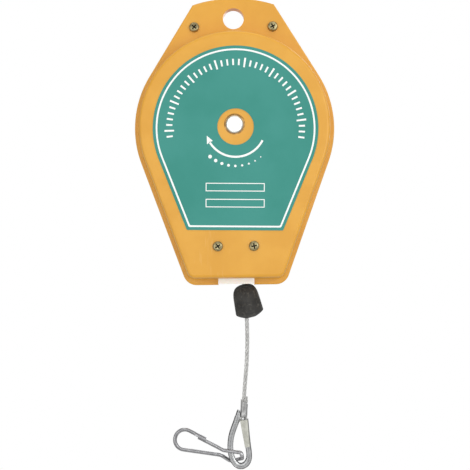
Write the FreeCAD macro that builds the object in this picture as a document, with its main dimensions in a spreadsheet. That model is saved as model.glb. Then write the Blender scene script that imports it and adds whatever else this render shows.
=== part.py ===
"""Tool balancer: a spring-loaded rope drum in a two-shell casing, with a stopper, thimble and snap hook.

Millimetres. +X is to the right of the front, the front faces -Y, and +Z is up. The origin is
the centre of the hanging hole. The two shells meet at the plane y = 0.
"""
import FreeCAD, Part
import math
import os
import re
import Sketcher
from FreeCAD import Placement, Rotation, Vector

DRIVING_SIZES = {
    # casing
    "rim_radius": (72.5, "round part of the casing's outline"),
    "hole_rise": (7.2, "centre of the hanging hole above the round part"),
    "hole_cover": (15, "centre of the hanging hole down from the arc of the top edge"),
    "upper_flank": (31.75, "upper sides from the vertical, degrees"),
    "lower_flank": (20, "lower sides from the vertical, degrees"),
    "bottom_drop": (113.7, "centre of the round part down to the bottom edge"),
    "bottom_round": (10, "corners of the bottom edge"),
    "flange_depth": (5, "thickness of each shell's flange and ear"),
    "half_depth": (22, "parting plane to the outer face of each shell"),
    "lip": (2.5, "flange left showing round the raised dome"),
    "bottom_lip": (4, "flange left showing below the dome"),
    "draft": (5, "slope of the dome's wall, degrees"),
    "face_round": (2.2, "rounding of the dome's front edge"),
    "flange_round": (1, "rounding of the flange's outer edge"),
    "foot_round": (0.8, "hollow rounding where the dome meets the flange"),
    "shell_wall": (2.4, "moulded wall"),
    "hang_hole": (7.6, "radius of the hanging hole"),
    # spindle and hubs
    "spindle_rise": (1.4, "spindle above the centre of the casing's round part"),
    "spindle_radius": (6.25, "spindle"),
    "spindle_proud": (1, "how far the spindle's ends stand out of the shells"),
    "spindle_bevel": (0.8, "chamfer of the spindle's ends"),
    "hub_ease": (1.25, "round window over each spindle end, wider than the spindle by this"),
    "bush_radius": (8.4, "outside of the shell bushes"),
    "hub_wall": (2.4, "boss wall round each bush"),
    "hub_reach": (5, "length of each shell's boss inside the wall"),
    "running": (0.05, "radial clearance of a shaft in its bush"),
    "gap": (0.3, "clearance between parts that move past each other"),
    "hex_flats": (6, "across the flats of the adjusting socket"),
    "hex_deep": (9, "depth of the adjusting socket"),
    # rope and drum
    "rope_radius": (1.5, "steel rope"),
    "pitch_radius": (48, "middle of the rope on the drum"),
    "turns": (4, "turns of rope on the drum when it is all in"),
    "flange_rise": (8, "drum flanges above the groove floor"),
    "drum_flange": (2.2, "thickness of the drum flanges"),
    "drum_wall": (3, "wall between the rope groove and the spring"),
    "web_thick": (2.5, "drum web"),
    "drum_hub": (11, "radius of the drum's hubs"),
    "cover_thick": (2, "drum cover plate"),
    "bush_wall": (1.6, "wall of the drum's bush"),
    "drum_screw": (0.9, "radius of the drum cover screws"),
    "drum_screws": (6, "screws of the drum cover"),
    # spring
    "strip": (0.9, "thickness of the spring strip"),
    "coils": (9, "turns of the spring"),
    # ratchet
    "tooth_count": (24, "ratchet teeth"),
    "ratchet_radius": (18, "tips of the ratchet teeth"),
    "tooth_deep": (2.2, "depth of the teeth"),
    "ratchet_front": (8.2, "front face of the ratchet wheel, along y"),
    "ratchet_thick": (4, "ratchet wheel and pawl"),
    "ring_thick": (1, "retaining rings"),
    "pawl_pin": (2, "radius of the pawl's pivot"),
    "pawl_arm": (19, "pawl pivot to the pawl's tip"),
    "pawl_half": (2.4, "half the width of the pawl's arm"),
    "pawl_tail": (11, "pawl pivot to the release stud"),
    "pawl_swing": (12, "how far the pawl lifts, degrees"),
    "stud_radius": (2, "release stud"),
    "stud_proud": (3, "release stud out of the rear shell"),
    "pawl_wire": (0.4, "radius of the pawl spring's wire"),
    # fastenings
    "top_screw_x": (28.5, "casing screws in the ear, to each side"),
    "top_screw_drop": (6, "those screws below the hanging hole"),
    "low_screw_x": (12.9, "casing screws near the bottom, to each side"),
    "low_screw_drop": (85.4, "those screws below the centre of the round part"),
    "screw_radius": (2, "screw shank"),
    "top_head": (3.7, "radius of the upper screw heads"),
    "top_screw_reach": (4, "thread of the upper screws in the rear shell"),
    "low_screw_reach": (9, "thread of the lower screws in the rear shell"),
    "low_head": (4.1, "radius of the lower screw heads"),
    "head_high": (2, "height of the screw heads"),
    "boss_wall": (2, "wall round each screw"),
    # label plate
    "plate_radius": (59.1, "round part of the label plate"),
    "plate_flank": (22, "its lower sides from the vertical, degrees"),
    "plate_bottom": (72, "centre of the round part down to its bottom edge"),
    "plate_corner": (0.6, "its corners"),
    "plate_hole": (13, "radius of its hole round the spindle"),
    "plate_thick": (0.4, "thickness of the plate"),
    # rope outlet
    "outlet_x": (5.4, "rope outlet to the right of the middle"),
    "guide_wide": (26.1, "width of the rope guide"),
    "guide_deep": (18, "depth of the rope guide through both shells"),
    "guide_high": (6.6, "height of the guide below its brim"),
    "guide_inset": (0.8, "guide above the casing's bottom edge"),
    "brim_high": (1.4, "brim that holds the guide inside the shells"),
    "brim_wide": (2.6, "the brim beyond the guide's sides"),
    "guide_throat": (2.1, "radius of the guide's bore"),
    # stopper and rope end
    "stopper_radius": (10.1, "rubber stopper at its foot"),
    "stopper_neck": (9.4, "rubber stopper at its shoulder"),
    "stopper_high": (25, "rubber stopper"),
    "stopper_tilt": (10.5, "lean of the stopper, degrees"),
    "sleeve_radius": (3.4, "stop sleeve crimped on the rope"),
    "sleeve_high": (8, "stop sleeve"),
    "stopper_x": (5, "top of the stopper to the right of the middle"),
    "stopper_seat": (8.5, "top of the stopper down to the shoulder on its sleeve"),
    "ferrule_seat": (29.8, "thimble centre up to the ferrule"),
    "ferrule_high": (13, "ferrule"),
    "ferrule_slant": (3.5, "slope of the ferrule's top across its width"),
    "ferrule_wall": (0.25, "wall of the ferrule round the rope's cut end"),
    "tail_x": (1.5, "cut end of the rope, to the right of the running rope"),
    "tail_proud": (1.6, "cut end above the ferrule's low side"),
    "chain_x": (1.9, "middle of the thimble's round end, to the right"),
    "chain_drop": (240.3, "the same, below the centre of the round part"),
    "thimble_inner": (3.3, "inside radius of the thimble's round end"),
    "thimble_sheet": (0.75, "sheet of the thimble"),
    "collar_high": (20, "collar on the thimble's right leg"),
    "collar_wall": (0.7, "its wall"),
    "collar_low": (7.5, "thimble centre up to the collar"),
    "thimble_deep": (4.7, "flange of the thimble, from its inside edge"),
    "thimble_taper": (6.3, "thimble legs from their middle line, degrees"),
    "thimble_leg": (24, "length of the thimble's legs"),
    "thimble_lean": (3.6, "lean of the thimble, degrees"),
    # snap hook
    "wire": (1.3, "radius of the hook's wire"),
    "hook_lean": (18.4, "hook above the level, degrees, as it lies to the left"),
    "nose_reach": (50.3, "thimble centre to the middle of the wire at the hook's nose"),
    "nose_radius": (7.35, "bend of the nose"),
    "arm_taper": (9.5, "hook arms from the middle line, degrees"),
    "eye_half": (5, "half width of the hook's eye, along y"),
    "gate_root": (13.6, "thimble centre to the root of the gate"),
    "gate_tip": (34.6, "thimble centre to the tip of the gate"),
}

doc = FreeCAD.newDocument("tool_balancer")
sheet = doc.addObject("Spreadsheet::Sheet", "Sizes")
for row, (alias, (value, meaning)) in enumerate(DRIVING_SIZES.items(), start=1):
    sheet.set(f"A{row}", alias)
    sheet.set(f"B{row}", str(value))
    sheet.setAlias(f"B{row}", alias)
    sheet.set(f"C{row}", meaning)
doc.recompute()
subparts = []


# ---- expressions and sketches -------------------------------------------------------------------
def spelled(text):
    """An expression on the sheet: every size's name gets the sheet's name before it."""
    return re.sub(r"[a-z_]+", lambda word: "Sizes." * (word[0] in DRIVING_SIZES) + word[0], text)


def number(text):
    """What an expression is worth now."""
    return float(probe.evalExpression(spelled(text)))


def bind(thing, prop, text):
    thing.setExpression(prop, spelled(text))


probe = doc.addObject("App::FeaturePython", "Probe")


def new_body(label, centre=("0", "0", "0"), turn=None):
    """A body whose own origin sits at the given place, turned there if asked."""
    body = doc.addObject("PartDesign::Body", label)
    body.Label = label
    if turn:
        body.Placement = Placement(Vector(), turn)
    for axis, text in zip("xyz", centre):
        if text != "0":
            bind(body, f".Placement.Base.{axis}", text)
    doc.recompute()
    subparts.append(body)
    return body


def new_sketch(body, plane="XZ_Plane", offset="0"):
    """A sketch on one of the body's origin planes, moved along that plane's normal."""
    sketch = body.newObject("Sketcher::SketchObject", f"{body.Name}_sketch")
    features = [f for f in body.Origin.OriginFeatures if f.Role == plane]
    sketch.AttachmentSupport = [(features[0], "")]
    sketch.MapMode = "FlatFace"
    if offset != "0":
        bind(sketch, ".AttachmentOffset.Base.z", offset)
    return sketch


def pin_point(sketch, geometry, point, across, up):
    """Ties a point's two coordinates to expressions."""
    for kind, text in (("DistanceX", across), ("DistanceY", up)):
        index = sketch.addConstraint(
            Sketcher.Constraint(kind, -1, 1, geometry, point, number(text))
        )
        bind(sketch, f"Constraints[{index}]", text)


def pin_radius(sketch, geometry, text):
    index = sketch.addConstraint(Sketcher.Constraint("Radius", geometry, number(text)))
    bind(sketch, f"Constraints[{index}]", text)


def circle(sketch, across, up, radius):
    centre = Vector(number(across), number(up), 0)
    geometry = sketch.addGeometry(Part.Circle(centre, Vector(0, 0, 1), number(radius)))
    pin_point(sketch, geometry, 3, across, up)
    pin_radius(sketch, geometry, radius)


def loop(sketch, corners):
    """A closed outline. A corner is (across, up), or (across, up, radius, side) when an arc leaves
    it: side 1 bulges to the left of the way to the next corner, and -1 to the right."""
    points = [Vector(number(corner[0]), number(corner[1]), 0) for corner in corners]
    ends = []
    for corner, start, end in zip(corners, points, points[1:] + points[:1]):
        if len(corner) == 2:
            edge = Part.LineSegment(start, end)
        else:
            radius, half = number(corner[2]), (end - start).Length / 2
            rise = radius - math.sqrt(max(radius**2 - half**2, 0))
            left = Vector(start.y - end.y, end.x - start.x, 0).normalize()
            edge = Part.Arc(start, (start + end) / 2 + left * rise * corner[3], end)
        geometry = sketch.addGeometry(edge)
        begins = sketch.getPoint(geometry, 1).distanceToPoint(start) < 1e-6
        ends.append((geometry, 1, 2) if begins else (geometry, 2, 1))
    for (geometry, _, last), (following, first, _) in zip(ends, ends[1:] + ends[:1]):
        sketch.addConstraint(Sketcher.Constraint("Coincident", geometry, last, following, first))
    for corner, (geometry, first, _) in zip(corners, ends):
        pin_point(sketch, geometry, first, corner[0], corner[1])
        if len(corner) == 4:
            pin_radius(sketch, geometry, corner[2])


def rectangle(sketch, left, low, right, high):
    loop(sketch, [(left, low), (right, low), (right, high), (left, high)])


def shield(sketch, radius, flank, bottom, corner, top=None):
    """The casing's outline: a round part, two sloping lower sides and a flat bottom with rounded
    corners; with top, also two upper sides that end in a wider arc."""
    low_x, low_y = f"{radius} * cos({flank})", f"{radius} * sin({flank})"
    bottom_x = f"({radius} - {bottom} * sin({flank})) / cos({flank})"
    setback = f"{corner} * tan(45 - {flank} / 2)"
    right = [
        (f"{bottom_x} - {setback}", f"-{bottom}", corner, -1),
        (f"{bottom_x} + {setback} * sin({flank})", f"-{bottom} + {setback} * cos({flank})"),
    ]
    if top:
        slope = "upper_flank"
        run = f"sqrt({top}^2 - {radius}^2)"
        shoulder = (
            f"{radius} * cos({slope}) - {run} * sin({slope})",
            f"{radius} * sin({slope}) + {run} * cos({slope})",
        )
        right.append((low_x, f"-{low_y}", radius, -1))
        right.append((f"{radius} * cos({slope})", f"{radius} * sin({slope})"))
        right.append((*shoulder, top, -1))
        crown = ("0", top, top, -1)
    else:
        right.append((low_x, f"-{low_y}", radius, -1))
        crown = ("0", radius, radius, -1)
    left = []
    for i in reversed(range(len(right))):
        arc = right[i - 1][2:] if i else ()
        left.append((f"-({right[i][0]})", right[i][1], *arc))
    loop(sketch, [*right, crown, *left])


# ---- features -----------------------------------------------------------------------------------
def grow(body, kind, sketch, **settings):
    """Adds a feature, binds its text settings to the sheet and refuses one that changes nothing."""
    before = body.Shape.Volume if body.Shape and not body.Shape.isNull() else 0
    feature = body.newObject(f"PartDesign::{kind}", f"{body.Name}_{kind}")
    if sketch:
        feature.Profile = sketch
        sketch.Visibility = False
    for name, setting in settings.items():
        if isinstance(setting, str) and name in ("Length", "TaperAngle", "Radius", "Size"):
            bind(feature, name, setting)
        else:
            setattr(feature, name, setting)
    doc.recompute()
    if kind in ("PolarPattern", "Mirrored"):
        body.Tip = feature
        doc.recompute()
    if "Up-to-date" not in feature.State or abs(body.Shape.Volume - before) < 1e-6:
        raise RuntimeError(f"{body.Label}: {kind} changed nothing or failed: {feature.State}")
    return feature


def pad(body, sketch, length, **settings):
    return grow(body, "Pad", sketch, Length=length, **settings)


def pocket(body, sketch, length, **settings):
    return grow(body, "Pocket", sketch, Length=length, **settings)


def revolve(body, corners, across="0", height="0", plane="XY_Plane"):
    """A turned piece about an upright line of the plane, from (radius, along) corners."""
    sketch = new_sketch(body, plane, height)
    moved = [(f"{across} + {corner[0]}", *corner[1:]) for corner in corners]
    loop(sketch, moved)
    low, high = Vector(number(across), -1, 0), Vector(number(across), 1, 0)
    line = sketch.addGeometry(Part.LineSegment(low, high), True)
    pin_point(sketch, line, 1, across, "-1")
    pin_point(sketch, line, 2, across, "1")
    return grow(body, "Revolution", sketch, ReferenceAxis=(sketch, ["Axis0"]), Angle=360)


def turned(label, corners, centre):
    body = new_body(label, centre)
    revolve(body, corners)
    return body


def ring_section(inner, outer, low, high):
    return [(inner, low), (outer, low), (outer, high), (inner, high)]


def coil_edge(across, low, radius, count):
    """Corners of the outside of rope or wire wound side by side, each turn as four flats."""
    corners = []
    for turn in range(count):
        for angle in (0, 45, 90, 135):
            corners.append((f"{across} + {radius} * sin({angle})",
                            f"{low} + {radius} * ({2 * turn + 1} - cos({angle}))"))
    return [*corners, (across, f"{low} + {2 * count} * {radius}")]


def polar(body, features, count):
    """Repeats features evenly about the body's y axis."""
    axis = [f for f in body.Origin.OriginFeatures if f.Role == "Y_Axis"][0]
    pattern = grow(body, "PolarPattern", None, Originals=features, Axis=(axis, [""]), Angle=360,
                   Occurrences=int(number(count)))
    bind(pattern, "Occurrences", count)
    return pattern


def edges_where(shape, test):
    return [f"Edge{i}" for i, edge in enumerate(shape.Edges, start=1) if test(edge)]


def round_edges(body, radius, test):
    names = edges_where(body.Tip.Shape, test)
    return grow(body, "Fillet", None, Base=(body.Tip, names), Radius=radius)


# ---- casing -------------------------------------------------------------------------------------
HOLE_UP = "(rim_radius + hole_rise)"
TOP_ARC = f"({HOLE_UP} + hole_cover)"
CASING = ("0", "0", f"-{HOLE_UP}")
SPINDLE = ("0", "0", f"-{HOLE_UP} + spindle_rise")
INNER_FACE = "(half_depth - shell_wall)"
BACK_TO_FRONT = Rotation(Vector(0, 0, 1), 180)


def shell(label, front):
    """One moulded shell: a flange with the ear, a drafted dome, and bosses for what it carries.
    The rear shell is drawn as a front one and turned round, so what it has alone is mirrored."""
    body = new_body(label, CASING, None if front else BACK_TO_FRONT)
    inward = {"Reversed": True}

    outline = new_sketch(body)
    shield(outline, "rim_radius", "lower_flank", "bottom_drop", "bottom_round", TOP_ARC)
    pad(body, outline, "flange_depth")
    far = number("flange_depth")
    round_edges(body, "flange_round", lambda edge: is_at_depth(edge, far))
    of_flange = [edge.CenterOfMass for edge in body.Tip.Shape.Edges if is_at_depth(edge, far)]

    dome = new_sketch(body)
    shield(dome, "(rim_radius - lip)", "lower_flank", "(bottom_drop - bottom_lip)",
           "(bottom_round - lip)")
    pad(body, dome, "half_depth", TaperAngle="-draft")
    face = number("half_depth")
    round_edges(body, "face_round", lambda edge: is_at_depth(edge, face))
    round_edges(body, "foot_round", lambda edge: is_at_depth(edge, far) and all(
        edge.CenterOfMass.distanceToPoint(old) > 0.01 for old in of_flange))

    hollow = new_sketch(body)
    shield(hollow, "(rim_radius - lip - shell_wall)", "lower_flank",
           "(bottom_drop - bottom_lip - shell_wall)", "(bottom_round - lip - shell_wall)")
    pocket(body, hollow, INNER_FACE, TaperAngle="-draft", **inward)

    boss = new_sketch(body, offset=f"{INNER_FACE} - hub_reach")
    circle(boss, "0", "spindle_rise", "(bush_radius + hub_wall)")
    pad(body, boss, "hub_reach + shell_wall / 2")
    seat = new_sketch(body, offset=f"{INNER_FACE} - hub_reach")
    circle(seat, "0", "spindle_rise", "bush_radius")
    pocket(body, seat, "hub_reach", **inward)
    window = new_sketch(body)
    circle(window, "0", "spindle_rise", "spindle_radius + hub_ease")
    pocket(body, window, "half_depth + 1", **inward)

    posts = new_sketch(body)
    for side in ("", "-"):
        circle(posts, f"{side}low_screw_x", "-low_screw_drop", "(screw_radius + boss_wall)")
    pad(body, posts, "half_depth - shell_wall / 2")
    for across, up, reach in SCREWS:
        bores = new_sketch(body)
        for side in ("", "-"):
            circle(bores, f"{side}{across}", up, "screw_radius")
        pocket(body, bores, "half_depth + 1" if front else reach, **inward)

    if not front:
        pivot_post = new_sketch(body, offset=POST_FACE)
        circle(pivot_post, "pawl_arm", f"spindle_rise + {PIVOT_UP}", "(pawl_pin + 2)")
        pad(body, pivot_post, f"{INNER_FACE} - {POST_FACE} + shell_wall / 2")
        pivot_bore = new_sketch(body)
        circle(pivot_bore, "pawl_arm", f"spindle_rise + {PIVOT_UP}", "pawl_pin")
        pocket(body, pivot_bore, f"{INNER_FACE} + shell_wall / 2", **inward)
        release_slot = new_sketch(body)
        side, stud_up = "(stud_radius + 2 * gap)", f"spindle_rise + {PIVOT_UP}"
        rectangle(release_slot, f"pawl_arm + pawl_tail - {side}",
                  f"{stud_up} - {side} - pawl_tail * sin(pawl_swing)",
                  f"pawl_arm + pawl_tail + {side}", f"{stud_up} + {side}")
        pocket(body, release_slot, "half_depth + 1", **inward)

    hanger = new_sketch(body)
    circle(hanger, "0", HOLE_UP, "hang_hole")
    pocket(body, hanger, "flange_depth + 1", **inward)
    notch = new_sketch(body)
    rectangle(notch, "-guide_wide / 2", "-bottom_drop - 1", "guide_wide / 2", GUIDE_TOP)
    pocket(body, notch, "guide_deep / 2", **inward)
    return body


def is_at_depth(edge, depth):
    box = edge.BoundBox
    return abs(box.YMin + depth) < 1e-4 and abs(box.YMax + depth) < 1e-4


ROOT = "(ratchet_radius - tooth_deep)"
PIVOT_UP = "(ratchet_radius + pawl_half + pawl_pin / 2)"
TOOTH_BACK = "(ratchet_front + ratchet_thick)"
POST_FACE = f"({TOOTH_BACK} + 2 * gap + 6 * pawl_wire)"
SCREWS = [
    ("top_screw_x", f"({HOLE_UP} - top_screw_drop)", "top_screw_reach"),
    ("low_screw_x", "-low_screw_drop", "low_screw_reach"),
]
GUIDE_TOP = "-(bottom_drop - guide_inset - guide_high)"
front_cover = shell("front_cover", True)
rear_cover = shell("rear_cover", False)


# ---- label plate, bushes, guide and casing screws -----------------------------------------------
nameplate = new_body("nameplate", CASING)
plate = new_sketch(nameplate, offset="half_depth")
shield(plate, "plate_radius", "plate_flank", "plate_bottom", "plate_corner")
circle(plate, "0", "0", "plate_hole")
pad(nameplate, plate, "plate_thick")

BUSH_INNER = "spindle_radius + running"
for label, low, high in [
    ("front_bush", f"-{INNER_FACE}", f"-{INNER_FACE} + hub_reach"),
    ("rear_bush", f"{INNER_FACE} - hub_reach", INNER_FACE),
]:
    turned(label, ring_section(BUSH_INNER, "bush_radius", low, high), SPINDLE)

rope_guide = new_body("rope_guide", CASING)
block = new_sketch(rope_guide, "XY_Plane", "-(bottom_drop - guide_inset)")
rectangle(block, "-guide_wide / 2", "-guide_deep / 2", "guide_wide / 2", "guide_deep / 2")
pad(rope_guide, block, "guide_high + brim_high")
brim = new_sketch(rope_guide, "XY_Plane", GUIDE_TOP)
rectangle(brim, "-guide_wide / 2 - brim_wide", "-guide_deep / 2 + shell_wall",
          "guide_wide / 2 + brim_wide", "guide_deep / 2 - shell_wall")
pad(rope_guide, brim, "brim_high")
throat = new_sketch(rope_guide, "XY_Plane", "-(bottom_drop - guide_inset)")
circle(throat, "outlet_x", "0", "guide_throat")
pocket(rope_guide, throat, "guide_high + brim_high + 1", Reversed=True)

HEAD_BASE = {"top_screw_x": "flange_depth", "low_screw_x": "half_depth"}
for label, (across, up, reach), head in [
    ("ear_screws", SCREWS[0], "top_head"), ("dome_screws", SCREWS[1], "low_head"),
]:
    screws = new_body(label, CASING)
    screws.AllowCompound = True
    seat = HEAD_BASE[across]
    section = [
        ("0", f"-{seat} - head_high"),
        (f"{head} * 0.55", f"-{seat} - head_high", f"{head} * 1.1", 1),
        (head, f"-{seat} - 0.4"),
        (head, f"-{seat}"),
        ("screw_radius", f"-{seat}"),
        ("screw_radius", f"{reach}"),
        ("0", f"{reach}"),
    ]
    right_screw = revolve(screws, section, across, up)
    middle = [f for f in screws.Origin.OriginFeatures if f.Role == "YZ_Plane"][0]
    grow(screws, "Mirrored", None, Originals=[right_screw], MirrorPlane=(middle, [""]))

# ---- rope drum ----------------------------------------------------------------------------------
FLOOR = "(pitch_radius - rope_radius)"
CAVITY = f"({FLOOR} - drum_wall)"
RIM = f"({FLOOR} + flange_rise)"
ROPE_EDGE = "(rope_radius + gap)"
ROPE_START = f"(-{ROPE_EDGE} - 2 * rope_radius * turns)"
DRUM_FRONT = f"({ROPE_START} - drum_flange)"
DRUM_BACK = f"({ROPE_EDGE} + drum_flange)"
HUB_BORE = "(spindle_radius + running + bush_wall)"
WEB_FRONT = f"(-{INNER_FACE} + hub_reach + ring_thick + 2 * gap)"
WEB_BACK = f"({WEB_FRONT} + web_thick)"

rope_drum = turned("rope_drum", [
    (HUB_BORE, WEB_FRONT), (CAVITY, WEB_FRONT), (CAVITY, DRUM_FRONT), (RIM, DRUM_FRONT),
    (RIM, ROPE_START), (FLOOR, ROPE_START), (FLOOR, ROPE_EDGE), (RIM, ROPE_EDGE),
    (RIM, DRUM_BACK), (CAVITY, DRUM_BACK), (CAVITY, WEB_BACK), (HUB_BORE, WEB_BACK),
], SPINDLE)
window = new_sketch(rope_drum)
circle(window, f"({CAVITY} + drum_hub) / 2", "0", f"({CAVITY} - drum_hub) * 0.26")
lightened = pocket(rope_drum, window, "20", Reversed=True)
polar(rope_drum, [lightened], "drum_screws")

SCREW_RING = f"({CAVITY} + drum_wall / 2)"
drum_cover = turned("drum_cover", [
    (HUB_BORE, DRUM_BACK), (f"{RIM} - 3", DRUM_BACK), (f"{RIM} - 3", f"{DRUM_BACK} + cover_thick"),
    ("drum_hub", f"{DRUM_BACK} + cover_thick"), ("drum_hub", "ratchet_front - gap"),
    (HUB_BORE, "ratchet_front - gap"),
], SPINDLE)
for body, low, depth in [(drum_cover, DRUM_BACK, "cover_thick"), (rope_drum, ROPE_EDGE, "drum_flange")]:
    holes = new_sketch(body, offset=f"-({low} + {depth})")
    circle(holes, "0", SCREW_RING, "drum_screw")
    hole = pocket(body, holes, depth, Reversed=True)
    polar(body, [hole], "drum_screws")

drum_screws = new_body("drum_screws", SPINDLE)
drum_screws.AllowCompound = True
screw = revolve(drum_screws, [
    ("0", ROPE_EDGE), ("drum_screw", ROPE_EDGE), ("drum_screw", f"{DRUM_BACK} + cover_thick"),
    ("drum_screw * 2", f"{DRUM_BACK} + cover_thick"),
    ("drum_screw * 2", f"{DRUM_BACK} + cover_thick + 1.2"), ("0", f"{DRUM_BACK} + cover_thick + 1.2"),
], "0", SCREW_RING)
polar(drum_screws, [screw], "drum_screws")

for label, low, high in [
    ("drum_front_bush", WEB_FRONT, WEB_BACK),
    ("drum_rear_bush", DRUM_BACK, "ratchet_front - gap"),
]:
    turned(label, ring_section(BUSH_INNER, HUB_BORE, low, high), SPINDLE)

turned("wound_rope", [
    (FLOOR, ROPE_START),
    *coil_edge("pitch_radius", ROPE_START, "rope_radius", int(number("turns"))),
    (FLOOR, f"-{ROPE_EDGE}"),
], SPINDLE)

# ---- spindle and ratchet ------------------------------------------------------------------------
END = "(half_depth + spindle_proud)"
GROOVE = "(spindle_radius - spindle_bevel)"
FRONT_RING = f"({WEB_FRONT} - gap - ring_thick)"
REAR_RING = TOOTH_BACK
spindle = turned("spindle", [
    ("0", f"-{END}"), (GROOVE, f"-{END}"), ("spindle_radius", f"-{END} + spindle_bevel"),
    ("spindle_radius", FRONT_RING), (GROOVE, FRONT_RING), (GROOVE, f"{FRONT_RING} + ring_thick"),
    ("spindle_radius", f"{FRONT_RING} + ring_thick"), ("spindle_radius", REAR_RING),
    (GROOVE, REAR_RING), (GROOVE, f"{REAR_RING} + ring_thick"),
    ("spindle_radius", f"{REAR_RING} + ring_thick"), ("spindle_radius", f"{END} - spindle_bevel"),
    (GROOVE, END), ("0", END),
], SPINDLE)
SPRING_FRONT = f"({WEB_BACK} + 2 * gap)"
SPRING_BACK = f"({DRUM_BACK} - 2 * gap)"
SLOT_HALF = "(strip / 2 + gap)"
slot = new_sketch(spindle, offset=f"-{SPRING_BACK} - gap")
rectangle(slot, "spindle_radius / 2 - gap", f"-{SLOT_HALF}", "spindle_radius + 1", SLOT_HALF)
pocket(spindle, slot, f"{SPRING_BACK} - {SPRING_FRONT} + 2 * gap", Reversed=True)
socket = new_sketch(spindle, offset=f"-{END}")
corner = "hex_flats / sqrt(3)"
loop(socket, [(f"{corner} * cos({60 * i})", f"{corner} * sin({60 * i})") for i in range(6)])
pocket(spindle, socket, "hex_deep", Reversed=True)

for label, low in [("front_ring", FRONT_RING), ("rear_ring", REAR_RING)]:
    turned(label, ring_section(GROOVE, "spindle_radius + 2", low, f"{low} + ring_thick"), SPINDLE)

ratchet_wheel = turned("ratchet_wheel", ring_section(
    "spindle_radius", ROOT, "ratchet_front", "ratchet_front + ratchet_thick"), SPINDLE)
PITCH = "360 / tooth_count"
tooth = new_sketch(ratchet_wheel, offset="-ratchet_front - ratchet_thick")
loop(tooth, [
    ("0", f"{ROOT} - 1"), (f"({ROOT} - 1) * sin({PITCH})", f"({ROOT} - 1) * cos({PITCH})"),
    (f"{ROOT} * sin({PITCH})", f"{ROOT} * cos({PITCH})"), ("0", "ratchet_radius"),
])
first_tooth = pad(ratchet_wheel, tooth, "ratchet_thick")
polar(ratchet_wheel, [first_tooth], "tooth_count")

# ---- pieces bent from wire, strip or rope -------------------------------------------------------
def rounded_path(points, radii):
    """Straight runs joined by tangent arcs: one radius for each point between the ends."""
    edges, start = [], points[0]
    for before, corner, after, radius in zip(points, points[1:], points[2:], radii):
        into, out = (corner - before).normalize(), (after - corner).normalize()
        half_turn = into.getAngle(out) / 2
        reach = radius * math.tan(half_turn)
        first, last = corner - into * reach, corner + out * reach
        inward = (out - into).normalize()
        middle = corner + inward * (radius / math.cos(half_turn) - radius)
        if start.distanceToPoint(first) > 1e-6:
            edges.append(Part.LineSegment(start, first).toShape())
        edges.append(Part.Arc(first, middle, last).toShape())
        start = last
    if start.distanceToPoint(points[-1]) > 1e-6:
        edges.append(Part.LineSegment(start, points[-1]).toShape())
    return Part.Wire(edges)


def tube(path, radius):
    """A round tube along a path, checked against its section times its length."""
    start = path.Edges[0]
    heading = start.tangentAt(start.FirstParameter)
    ring = Part.Wire(Part.makeCircle(radius, start.valueAt(start.FirstParameter), heading))
    solid = path.makePipeShell([ring], True, True)
    expected = math.pi * radius**2 * path.Length
    if not solid.isValid() or abs(solid.Volume / expected - 1) > 0.01:
        raise RuntimeError(f"a tube came out at {solid.Volume:.1f} mm3, not {expected:.1f}")
    return solid


def widest_arcs(points):
    """The arcs of a free rope: as large as the shorter of the two runs allows."""
    radii = []
    for before, corner, after in zip(points, points[1:], points[2:]):
        shorter = min((corner - before).Length, (after - corner).Length)
        radii.append(0.45 * shorter / math.tan((corner - before).getAngle(after - corner) / 2))
    return radii


def shaped(label, shape):
    """A sub-part whose shape comes from functions, because no sketch holds its path."""
    piece = doc.addObject("Part::Feature", label)
    piece.Label = label
    piece.Shape = shape
    subparts.append(piece)
    return piece


def casing_point(x, drop, y=0):
    """A place given as on the front view: to the right, and below the casing's centre."""
    return Vector(x, y, -number(HOLE_UP) - drop)


# ---- power spring: half circles about two centres -----------------------------------------------
inner = number("spindle_radius + 4 * gap + strip / 2")
outer = number(f"{CAVITY} - gap - strip / 2")
strip, coils = number("strip"), int(number("coils"))
growth = (outer - inner) / coils
spring_low, spring_high = number(SPRING_FRONT), number(SPRING_BACK)


def spiral(offset):
    """One face of the strip, from the spindle out to the drum, in the plane y = spring_low."""
    edges = []
    for coil in range(coils):
        near = inner + coil * growth + offset
        for centre, radius, sign in ((0, near, 1), (growth / 2, near + growth / 2, -1)):
            ends = [Vector(centre + sign * radius * side, spring_low, 0) for side in (1, -1)]
            top = Vector(centre, spring_low, sign * radius)
            edges.append(Part.Arc(ends[0], top, ends[1]).toShape())
    return edges


inside, outside = spiral(-strip / 2), spiral(strip / 2)
catch = number("spindle_radius / 2")
tab = Part.Face(Part.makePolygon([
    Vector(catch, spring_low, -strip / 2), Vector(inner + strip / 2, spring_low, -strip / 2),
    Vector(inner + strip / 2, spring_low, strip / 2), Vector(catch, spring_low, strip / 2),
    Vector(catch, spring_low, -strip / 2),
]))
start_cap = Part.makeLine(inside[0].Vertexes[0].Point, outside[0].Vertexes[0].Point)
end_cap = Part.makeLine(inside[-1].Vertexes[-1].Point, outside[-1].Vertexes[-1].Point)
band = Part.Face(Part.Wire(Part.__sortEdges__([*inside, end_cap, *outside, start_cap])))
depth = Vector(0, spring_high - spring_low, 0)
power_spring = shaped("power_spring", band.extrude(depth).fuse(tab.extrude(depth)).removeSplitter())
power_spring.Placement = Placement(Vector(0, 0, number(SPINDLE[2])), Rotation())

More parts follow.
